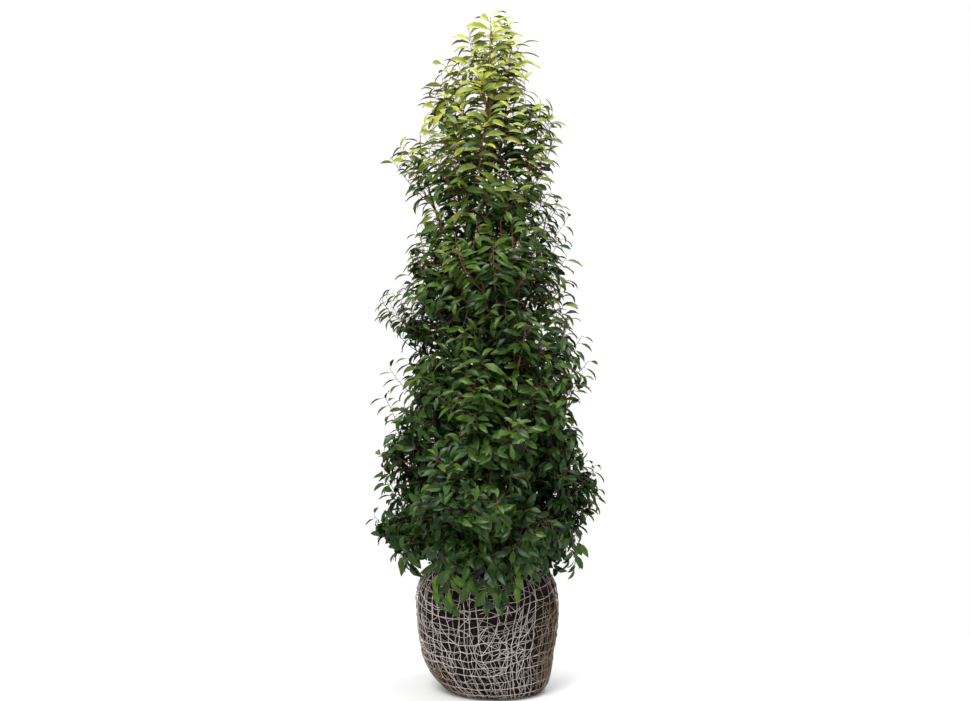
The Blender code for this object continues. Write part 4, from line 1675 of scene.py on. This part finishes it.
@dataclass
class Foliage:
    """Grows twigs, shoots and leaves on every stem by a seeded rule, clear of the bark."""

    plan: TreePlan
    masses: list[Mass]
    bark: BVHTree
    dealing: Dealing = Dealing()
    leaves: list[Leaf] = field(default_factory=list)
    shoots: list[Shoot] = field(default_factory=list)
    rooms: dict[tuple[int, ...], list[Vector]] = field(default_factory=dict)
    proud: ProudShoot | None = None
    twig_span: Span = (0.03, 0.97)
    twig_taper: Span = (1.1, 0.8)
    stem_leaves_from: float = 0.45
    leader_leaves_from: float = 0.1
    twig_angle: float = math.radians(62)
    twig_thickness: float = 0.42
    inner_twigs: tuple[float, ...] = (0.4, 0.6, 0.8, 0.97)
    cell_share: float = 0.022
    tip_shoot: float = 0.15
    shoot_radius: float = 0.0010
    end_radius: float = 0.0007
    leader_tip_radius: float = 0.0016
    room_cell: float = 0.017
    ball_room: float = 0.012
    widest_bulge: float = 1.06
    mean_bulge: float = 0.985
    coarse_bulge: float = 0.56
    coarse_bulge_scale: float = 1.9
    fine_bulge: float = 0.24
    fine_bulge_scale: float = 4.6
    bulge_rise: float = 4.2
    # Shoots whose tips lie lower get the darker bark: painted shade inside the crown.
    painted_shade_below: float = 1.34
    spurs: int = 84
    spur_span: Span = (0.60, 1.70)
    spur_length: float = 0.13
    spur_radius: float = 0.0018
    hollow: float = 0.050
    hollow_span: range = range(-9, 10)
    hollow_levels: range = range(8, 48)
    hollow_top: float = 1.30
    hollow_share: float = 0.80
    hollow_reach: float = 0.135
    hollow_sag: float = 0.012
    ragged_shoots: int = 46
    ragged_span: Span = (0.62, 2.02)
    side_shoots: int = 6
    side_shoot: float = 0.06
    lowest_ranks: float = 1.02
    flat_share: float = 0.55
    skyward: float = 0.7
    outward: float = 0.5
    sunward: float = 0.36
    leaf_roll: float = 0.38
    tip_leaves_from: float = 0.72
    tip_leaf_size: float = 0.82
    turns_tried: int = 3
    proud_spacing: float = 0.86
    spiral_power: float = 0.72
    path_stray: float = 0.05
    proud_above: float = 0.04
    gap_scale: float = 10.0
    gap_level: float = -0.30
    stalk: float = 0.010
    stalk_radii: Span = (0.0009, 0.0005)
    hem_height: float = 0.405
    hem_half_width: float = 0.17

    def __post_init__(self) -> None:
        """Looks up the ball's outline and starts the draws."""
        self.ball_width = BallForm().half_width_at()
        self.chance = random.Random(SEED)

    def habit(self, height: float) -> Habit:
        """How the crown grows at one height.

        Args:
            height: The height above the floor.

        Returns:
            The habit there, between those above and below it.
        """
        for (low, near), (high, far) in zip(HABITS, HABITS[1:]):
            if height < high:
                return near.toward(far, smooth((height - low) / (high - low)))
        return HABITS[-1][1]

    def varied(self, value: float, share: float) -> float:
        """The value, more or less by up to this share of it."""
        return value * self.chance.uniform(1 - share, 1 + share)

    def bulge(self, point: Vector, out: float) -> float:
        """How far the ragged outline lies out here.

        Args:
            point: The point.
            out: Its distance from the plant's axis.

        Returns:
            The share of the crown's reach.
        """
        spot = Vector((point.x / (out + 0.01), point.y / (out + 0.01), point.z * self.bulge_rise))
        coarse = self.coarse_bulge * noise.noise(spot * self.coarse_bulge_scale)
        fine = self.fine_bulge * noise.noise(spot * self.fine_bulge_scale)
        return min(self.widest_bulge, self.mean_bulge + coarse + fine)

    def in_reach(self, point: Vector, share: float = 1.0) -> bool:
        """True inside the crown's ragged outline and outside the ball.

        Args:
            point: The point.
            share: How far out it may lie, against the outline.

        Returns:
            Whether foliage may be there.
        """
        out = math.hypot(point.x, point.y)
        if not self.proud:
            share *= self.bulge(point, out)
        if out > crown_reach(point.z, point) * share or point.z > PLANT_HEIGHT:
            return False
        if point.z < self.hem_height and abs(point.x) > self.hem_half_width:
            return False
        return point.z > BALL_HEIGHT + 0.01 or out > self.ball_width(point.z) + self.ball_room

    def in_cell(self, point: Vector, mass: Mass) -> bool:
        """True in the mass's own cell of the crown, or a little way past its edge.

        Args:
            point: The point.
            mass: The mass.

        Returns:
            Whether the mass's twigs may end there.
        """
        near = (point - mass.centre).length_squared
        for other in self.masses:
            if other is not mass:
                apart = (other.centre - mass.centre).length
                if (point - other.centre).length_squared - near < -2 * apart * self.cell_share:
                    return False
        return True

    def nearest(self, point: Vector) -> Mass:
        """The mass whose cell a point lies in."""
        return min(self.masses, key=lambda each: (each.centre - point).length_squared)

    def blocked(self, start: Vector, end: Vector) -> bool:
        """True if bark lies between two points."""
        way = end - start
        return self.bark.ray_cast(start, way.normalized(), way.length)[0] is not None

    def cell_of(self, point: Vector, size: float) -> tuple[int, ...]:
        """The number of the cube of this size that a point lies in, each way."""
        return tuple(math.floor(part / size) for part in point)

    def has_room(self, point: Vector, room: float) -> bool:
        """Looks for other leaves near a place, and keeps the place if there are none.

        Args:
            point: The leaf's middle.
            room: The least distance to another's.

        Returns:
            True if there is room.
        """
        cell = self.cell_of(point, self.room_cell)
        for step in product((-1, 0, 1), repeat=3):
            for other in self.rooms.get(tuple(a + b for a, b in zip(cell, step)), ()):
                if (other - point).length < room:
                    return False
        self.rooms.setdefault(cell, []).append(point)
        return True

    def fitted(
        self, root: Vector, heading: Vector, length: float, lift: float, fit: Fit, mass: Mass | None = None
    ) -> Path:
        """A path that turns up, or down where its lift is negative, cut short until its tip has room.

        Args:
            root: Its foot.
            heading: Where it points at first.
            length: Its uncut length.
            lift: How strongly it turns towards the light.
            fit: How it is fitted.
            mass: The mass whose cell it keeps to, if it keeps to one.

        Returns:
            Its points, or none where nothing fits.
        """
        for cut in fit.cuts:
            way, path = heading, [root.copy()]
            for _ in range(fit.steps):
                stray = Vector([self.chance.gauss(0, self.path_stray) for _ in range(3)])
                way = (way + UP * lift / fit.steps + stray).normalized()
                path.append(path[-1] + way * (length * cut / fit.steps))
            inside = (mass is None or self.in_cell(path[-1], mass)) and self.in_reach(path[-1], fit.reach)
            if inside and not self.blocked(path[1], path[-1]):
                return path
        return []

    def posed(self, seat: Seat, turn: float) -> Leaf:
        """A leaf as it would lie at one turn round its shoot.

        Args:
            seat: Where it may grow.
            turn: The angle round the shoot.

        Returns:
            The leaf, still without its width.
        """
        habit, heading = seat.habit, seat.heading
        size, hang = (self.proud.leaf, self.proud.hang) if self.proud else (1.0, 0.0)
        toward_tip = smooth((seat.share - self.tip_leaves_from) / (1 - self.tip_leaves_from))
        angle = self.varied(mix(habit.leaf_angle, habit.tip_leaf_angle, toward_tip), 0.14)
        ahead = turned(heading, math.radians(angle), turn)
        ahead = (ahead - UP * (self.varied(habit.sag, 0.9) + hang)).normalized()
        lean = heading * habit.face_out + UP * self.skyward
        lean = lean + outward_of(seat.foot) * self.outward + SUNNY_SIDE * self.sunward
        upper = lean - ahead * lean.dot(ahead)
        if upper.length < 0.1:
            upper = ahead.orthogonal()
        upper = Quaternion(ahead, self.chance.gauss(0, self.leaf_roll)) @ upper.normalized()
        length = self.varied(habit.leaf_length * size * mix(1.0, self.tip_leaf_size, toward_tip), 0.2)
        arch = math.radians(self.varied(habit.arch, 0.3))
        root = seat.foot + ahead * self.varied(self.stalk, 0.25)
        return Leaf(seat.foot, root, ahead, upper, length, arch, seat.tint, seat.tier)

    def add_leaf(self, seat: Seat, turn: float) -> bool:
        """Tries a leaf at a few turns, and keeps it where outline, bark and other leaves leave it room.

        Args:
            seat: Where it may grow.
            turn: The first angle round the shoot.

        Returns:
            True if one was kept.
        """
        habit = seat.habit
        if not self.proud and noise.noise(seat.foot * self.gap_scale) < self.gap_level:
            return False
        share = self.proud.room if self.proud else 1.0
        for _ in range(self.turns_tried):
            leaf = self.posed(seat, turn)
            middle = leaf.root + leaf.ahead * leaf.length * 0.5 - leaf.upper * leaf.length * 0.12
            tip = leaf.root + leaf.ahead * leaf.length * 0.84 - leaf.upper * leaf.length * 0.42
            inside = self.in_reach(tip, share) and self.in_reach(middle, share)
            if inside and not self.blocked(leaf.root, tip) and self.has_room(middle, habit.leaf_room):
                leaf.half_width = self.varied(leaf.length * habit.leaf_width, 0.12)
                self.leaves.append(leaf)
                return True
            turn += math.tau / self.turns_tried
        return False

    def dress_shoot(self, path: Path, first: float, mass: Mass) -> float:
        """Sets a spray's leaves along a shoot: in two ranks, in four, or in a spiral low in the crown.

        Args:
            path: The shoot's points.
            first: How far along it its leaves start.
            mass: Its mass.

        Returns:
            How far along its last leaf sits, or 0 if none fits.
        """
        tint = self.dealing.spray(path[-1], self.chance)
        habit = self.habit(path[-1].z)
        spacing = habit.leaf_spacing * (self.proud_spacing if self.proud else 1.0)
        count = max(3, round(path_length(path) * (1 - first) / spacing))
        spiral = path[-1].z < self.lowest_ranks
        flat = self.proud is not None or self.chance.random() < self.flat_share
        turn = self.chance.uniform(0, math.tau) if spiral else math.pi * self.chance.randrange(2)
        last = 0.0
        for i in range(count):
            share = mix(first, 1.0, (i / (count - 1)) ** (self.spiral_power if spiral else 1.0))
            foot, heading = place_along(path, share)
            level, over = sides_of(heading)
            spread = math.atan2(over.x, level.x) if flat and not spiral else 0.0
            spread += self.chance.gauss(0, habit.rank_spread)
            green = self.dealing.leaf(tint, share, foot.z, self.chance)
            seat = Seat(foot, heading, share, green, mass.tier.name, self.habit(foot.z))
            if self.add_leaf(seat, turn + spread):
                last = share
            turn += GOLDEN_ANGLE if spiral else math.pi if flat or i % 2 == 0 else math.pi / 2
        return last

    def add_shoot(self, path: Path, radius: float, first: float, mass: Mass) -> None:
        """Dresses a young shoot, and keeps it as far as its last leaf.

        Args:
            path: Its points, or none.
            radius: Its foot's radius.
            first: How far along it its leaves start.
            mass: Its mass.
        """
        last = self.dress_shoot(path, first, mass) if path else 0.0
        if last > 0:
            steps = max(2, round(last * len(path)))
            kept = [place_along(path, last * i / steps)[0] for i in range(steps + 1)]
            self.shoots.append(Shoot(kept, radius, True))

    def grow_twig(self, mass: Mass, root: Vector, aim: Vector, length: float, radius: float) -> None:
        """A twig with its side shoots.

        Args:
            mass: Its mass.
            root: Its foot.
            aim: Where it points at first.
            length: Its uncut length.
            radius: Its foot's radius.
        """
        habit = self.habit(root.z)
        twig = self.fitted(root, aim, length, habit.twig_lift, TWIG_FIT, mass)
        if not twig:
            return
        self.shoots.append(Shoot(twig, radius, False))
        self.dress_shoot(twig, habit.bare_twig, mass)
        turn = self.chance.uniform(0, math.tau)
        for i in range(mass.tier.shoots):
            share = mix(0.2, 0.94, (i + self.chance.random() * 0.6) / mass.tier.shoots)
            foot, heading = place_along(twig, share)
            way = turned(heading, math.radians(self.varied(habit.shoot_angle, 0.25)), turn)
            way = way + outward_of(foot) * habit.outward + UP * habit.shoot_lift * 0.35
            reach = self.varied(habit.shoot_length, 0.25)
            path = self.fitted(foot, way.normalized(), reach, habit.shoot_lift, SHOOT_FIT)
            self.add_shoot(path, self.shoot_radius, 0.12, mass)
            turn += GOLDEN_ANGLE

    def grow_mass(self, mass: Mass) -> None:
        """A whole mass: twigs all along its stem and bough, then the shoot at the stem's tip.

        Args:
            mass: The mass.
        """
        stem, tier = mass.stem, mass.tier
        self.chance = random.Random(f"{SEED} {mass.name} fine")
        turn = self.chance.uniform(0, math.tau)
        shares = [mix(*self.twig_span, i / (tier.twigs - 1)) for i in range(tier.twigs)]
        twigs = [(stem, share, mix(*self.twig_taper, share)) for share in shares]
        if mass.bough:
            twigs += [(mass.bough, share, 0.9) for share in self.inner_twigs]
        for limb, share, size in twigs:
            root, heading = place_along(limb, share)
            habit = self.habit(root.z)
            aim = turned(heading, self.twig_angle, turn) + UP * habit.twig_lift * 0.3
            aim = aim + outward_of(root) * habit.outward * 0.5
            length = self.varied(habit.twig_length, 0.15) * size
            radius = self.twig_thickness * self.plan.stem_radius * size
            self.grow_twig(mass, root, aim.normalized(), length, radius)
            turn += GOLDEN_ANGLE
        self.proud = ProudShoot(*stem[-1], length=0.1, leaf=1.0, room=1.06)
        first = self.leader_leaves_from if tier is LEADER else self.stem_leaves_from
        self.dress_shoot(stem, first, mass)
        heading, lift = place_along(stem, 1.0)[1], self.habit(stem[-1].z).shoot_lift
        path = self.fitted(stem[-1], heading, self.tip_shoot, lift, TIP_FIT)
        self.add_shoot(path, self.plan.stem_tip_radius, 0.05, mass)
        self.proud = None

    def grow_spurs(self) -> None:
        """Short twigs off the trunk, whose old leaves close the crown's inside."""
        self.chance = random.Random(f"{SEED} spurs")
        turn = 0.0
        for i in range(self.spurs):
            rise = (i + self.chance.random() * 0.5) / self.spurs
            height = mix(*self.spur_span, rise)
            outward = way_at(turn, 0.15).normalized()
            root = self.plan.axis(height) + outward * self.plan.thickness(height) * 1.15
            length = self.varied(self.spur_length, 0.25)
            self.grow_twig(self.nearest(root), root, outward, length, self.spur_radius)
            turn += GOLDEN_ANGLE

    def fill_hollows(self) -> None:
        """A shoot from the nearest wood into every part of the crown that has no leaf."""
        filled = {self.cell_of(leaf.root, self.hollow) for leaf in self.leaves}
        wood = [(point, mass) for mass in self.masses for point in mass.stem + mass.bough]
        wood += [(point, self.nearest(point)) for shoot in self.shoots for point in shoot.path[1:]]
        tree = KDTree(len(wood))
        for i, (point, _) in enumerate(wood):
            tree.insert(point, i)
        tree.balance()
        self.chance = random.Random(f"{SEED} hollows")
        for k, i, j in product(self.hollow_levels, self.hollow_span, self.hollow_span):
            middle = Vector((i + 0.5, j + 0.5, k + 0.5)) * self.hollow
            if middle.z > self.hollow_top or (i, j, k) in filled:
                continue
            start, index, apart = tree.find(middle)
            if apart > self.hollow_reach or not self.in_reach(middle, self.hollow_share):
                continue
            end = start + (middle - start) * (1 + 0.02 / max(apart, 0.01))
            bend = start.lerp(end, 0.5) - UP * self.hollow_sag
            if self.in_reach(end) and not self.blocked(start.lerp(end, 0.1), end):
                self.add_shoot(bezier(start, bend, end, 4), self.shoot_radius, 0.15, wood[index][1])

    def ragged_rule(self) -> list[ProudShoot]:
        """Shoots that stand out all round the crown, one above the other.

        Returns:
            The shoots.
        """
        self.chance = random.Random(f"{SEED} ragged")
        made = []
        for i in range(self.ragged_shoots):
            rise = (i + self.chance.random()) / self.ragged_shoots
            height = mix(*self.ragged_span, rise)
            way = way_at(i * GOLDEN_ANGLE)
            tip = way * crown_reach(height, way) * self.chance.uniform(0.90, 1.0)
            made.append(ProudShoot(tip.x, tip.y, height, self.chance.uniform(0.11, 0.17), room=1.08))
        return made

    def grow_proud(self, proud: ProudShoot) -> None:
        """A long shoot from the nearest stem, which turns up, or hangs down, to its own tip.

        Args:
            proud: Where its tip is, and how it grows.
        """
        tip, outward = proud.tip, outward_of(proud.tip)
        rises = proud.length > 0
        sought = tip - UP * proud.length * 0.8 - outward * abs(proud.length) * 0.5
        stems = [(point, mass) for mass in self.masses for point in mass.stem]
        side, apart = (1 if rises else -1), self.proud_above
        places = [place for place in stems if (tip.z - place[0].z) * side > apart]
        start, mass = min(places, key=lambda place: (place[0] - sought).length)
        lean = (UP + outward * proud.lean * smooth(math.hypot(tip.x, tip.y) / 0.25)).normalized()
        bend = tip - lean * (tip - start).length * 0.55 if rises else Vector((tip.x, tip.y, start.z))
        path = bezier(start, bend, tip, 10)
        first = 1 - min(0.85, abs(proud.length) * 0.9 / path_length(path))
        self.add_shoot(path, proud.radius, first, mass)
        if not rises:
            self.grow_side_shoots(path, first, mass)

    def grow_side_shoots(self, stem: Path, first: float, mass: Mass) -> None:
        """Short shoots to both sides of a hanging one.

        Args:
            stem: The hanging shoot's points.
            first: How far along it its leaves start.
            mass: Its mass.
        """
        for i in range(self.side_shoots):
            foot, heading = place_along(stem, mix(first * 0.7, 0.97, i / (self.side_shoots - 1)))
            across = heading.cross(outward_of(foot)).normalized() * (1 if i % 2 else -1)
            way = heading * 0.5 + across * self.chance.uniform(0.4, 0.9) + outward_of(foot) * 0.5
            length = self.varied(self.side_shoot, 0.3)
            path = self.fitted(foot, way.normalized(), length, -0.25, HANGING_FIT)
            self.add_shoot(path, 0.0011, 0.1, mass)

    def build(self) -> None:
        """Grows every mass and makes the joined pieces."""
        for self.proud in (*PROUD_SHOOTS, *self.ragged_rule()):
            self.grow_proud(self.proud)
        self.proud = None
        for mass in self.masses:
            before = len(self.leaves)
            self.grow_mass(mass)
            LOG.info("%s: %d leaves", mass.name, len(self.leaves) - before)
        self.grow_spurs()
        before = len(self.leaves)
        self.fill_hollows()
        LOG.info("hollows: %d leaves", len(self.leaves) - before)
        self.build_wood()
        self.build_leaves()

    def build_wood(self) -> None:
        """The stems and twigs, the young shoots and the leaf stalks, each as one piece."""
        old, young, plan = Stack(), Stack(), self.plan
        for mass in self.masses:
            ends = plan.stem_radius, plan.stem_tip_radius
            if mass.tier is LEADER:
                ends = plan.trunk_tip_radius, self.leader_tip_radius
            old.add(tube(mass.stem, np.linspace(*ends, len(mass.stem)), 8))
        for shoot in self.shoots:
            radii = np.linspace(shoot.radius, self.end_radius, len(shoot.path))
            # Shoots that end low in the crown get the darker bark, painted shade.
            painted_shade = 1 if shoot.path[-1].z < self.painted_shade_below else 0
            (young if shoot.young else old).add(tube(shoot.path, radii, 4 if shoot.young else 5, painted_shade))
        names = [mass.name for mass in self.masses]
        report(old.make("stems_and_twigs", [OLD_WOOD, PAINTED_SHADE_WOOD], 60), names)
        report(young.make("young_shoots", [YOUNG_WOOD, PAINTED_SHADE_WOOD], 60), names)
        report(Stack(self.stalks()).make("leaf_stalks", [YOUNG_WOOD], 60), names)

    def stalks(self) -> Form:
        """A short three-sided stalk under every leaf.

        Returns:
            All stalks as one form.
        """
        foot, root, ahead, upper, length = columns(self.leaves, "foot", "root", "ahead", "upper", "length")
        side = np.cross(ahead, upper)
        end = root + ahead * (length * 0.10)[:, None]
        rings = []
        for place, radius in zip((foot, end), self.stalk_radii):
            for turn in all_round(3):
                rings.append(place + (side * math.cos(turn) + upper * math.sin(turn)) * radius)
        quads = np.array([(0, 1, 4, 3), (1, 2, 5, 4), (2, 0, 3, 5)])
        tris = np.array([(2, 1, 0), (3, 4, 5)])
        return copies(np.stack(rings, axis=1), quads, tris, np.zeros(len(root)))

    def build_leaves(self) -> None:
        """One joined piece of leaves for each tier, dealt their greens by spray."""
        finishes = [tint.value for tint in TINTS]
        for tier in (LEADER, *TIERS):
            stack = Stack(LeafShape().form([leaf for leaf in self.leaves if leaf.tier == tier.name]))
            names = [mass.name for mass in self.masses if mass.tier is tier]
            report(stack.make(f"leaves_{tier.name}", finishes, 28), names)
        LOG.info("%d leaves on %d shoots", len(self.leaves), len(self.shoots))


# Studio


@dataclass(frozen=True)
class Lamp:
    """A square soft light."""

    name: str
    place: Place
    size: float
    power: float

    def hang(self, aim: Place) -> None:
        """Adds the light to the scene.

        Args:
            aim: The point that it faces.
        """
        data = bpy.data.lights.new(self.name, "AREA")
        data.shape = "SQUARE"
        data.size = self.size
        data.energy = self.power
        lamp = bpy.data.objects.new(self.name, data)
        lamp.location = self.place
        lamp.rotation_euler = (Vector(aim) - Vector(self.place)).to_track_quat("-Z", "Y").to_euler()
        bpy.context.scene.collection.objects.link(lamp)


LAMPS = (Lamp("key_light", (-2.2, -4.7, 6.0), 3.0, 590.0), Lamp("top_light", (1.5, 0.2, 7.3), 3.4, 400.0))


@dataclass(frozen=True)
class Studio:
    """The pale floor, the soft light and the camera of the photograph."""

    image_width: int = 970
    pixels_per_metre: float = 288.3
    distance: float = 5.0
    camera_height: float = 1.1765
    camera_x: float = -0.0069
    sensor: float = 36.0
    floor_radius: float = 2.2
    floor_sides: int = 96
    crown_middle: Place = (0.0, 0.0, 1.3)
    zenith: float = 1.14
    horizon: float = 0.68
    ground: float = 0.13

    def build(self) -> None:
        """Sets the floor, the world, the lights and the camera."""
        self.lay_floor()
        self.hang_lights()
        self.set_camera()

    def lay_floor(self) -> None:
        """A wide flat round floor below the ball."""
        count = self.floor_sides
        turn = all_round(count)
        rim = np.stack([np.cos(turn), np.sin(turn), np.zeros(count)], axis=-1) * self.floor_radius
        tris = fan(np.arange(count), (np.arange(count) + 1) % count, count)
        points = np.concatenate([rim, np.zeros((1, 3))])
        disc = Form(points, np.zeros((0, 4), int), tris, np.zeros(0), np.zeros(count))
        Stack(disc).make("studio_floor", [FloorFinish("pale_floor")], 30)

    def hang_lights(self) -> None:
        """A white surround that lights the plant mostly from above, and two wide soft lights."""
        scene = bpy.context.scene
        scene.view_settings.view_transform = "Standard"
        scene.world = bpy.data.worlds.new("studio_surround")
        sheet = Sheet(scene.world, "Background")
        way = sheet.node("ShaderNodeTexCoord", output="Generated")
        rise = sheet.node("ShaderNodeSeparateXYZ", inputs={0: way}, output="Z")
        above = sheet.node("ShaderNodeMath", {"operation": "MAXIMUM"}, {0: rise, 1: 0.0})
        below = sheet.node("ShaderNodeMath", {"operation": "GREATER_THAN"}, {0: rise, 1: 0.0})
        sky = below * (self.horizon + above * (self.zenith - self.horizon)) + (1 - below) * self.ground
        seen = sheet.node("ShaderNodeLightPath", output="Is Camera Ray")
        sheet.set(Color=(1.0, 1.0, 1.0), Strength=seen + (1 - seen) * sky)
        for lamp in LAMPS:
            lamp.hang(self.crown_middle)

    def set_camera(self) -> None:
        """A level camera in front of the plant, as in the photograph."""
        data = bpy.data.cameras.new("camera")
        data.sensor_width = self.sensor
        data.lens = self.pixels_per_metre * self.distance * self.sensor / self.image_width
        camera = bpy.data.objects.new("camera", data)
        camera.location = (self.camera_x, -self.distance, self.camera_height)
        camera.rotation_euler = (math.pi / 2, 0, 0)
        bpy.context.scene.collection.objects.link(camera)
        bpy.context.scene.camera = camera


def main() -> None:
    """Builds the studio, the ball, the limbs and the foliage, and reports each piece."""
    logging.basicConfig(level=logging.INFO, format="%(name)s %(message)s", stream=sys.stdout)
    Studio().build()
    RootBall().build()
    Netting().build()
    plan = TreePlan()
    boughs, masses = plan.all_limbs()
    bark = Bark(plan).build(boughs)
    Foliage(plan, masses, bark).build()


if __name__ == "__main__":
    main()
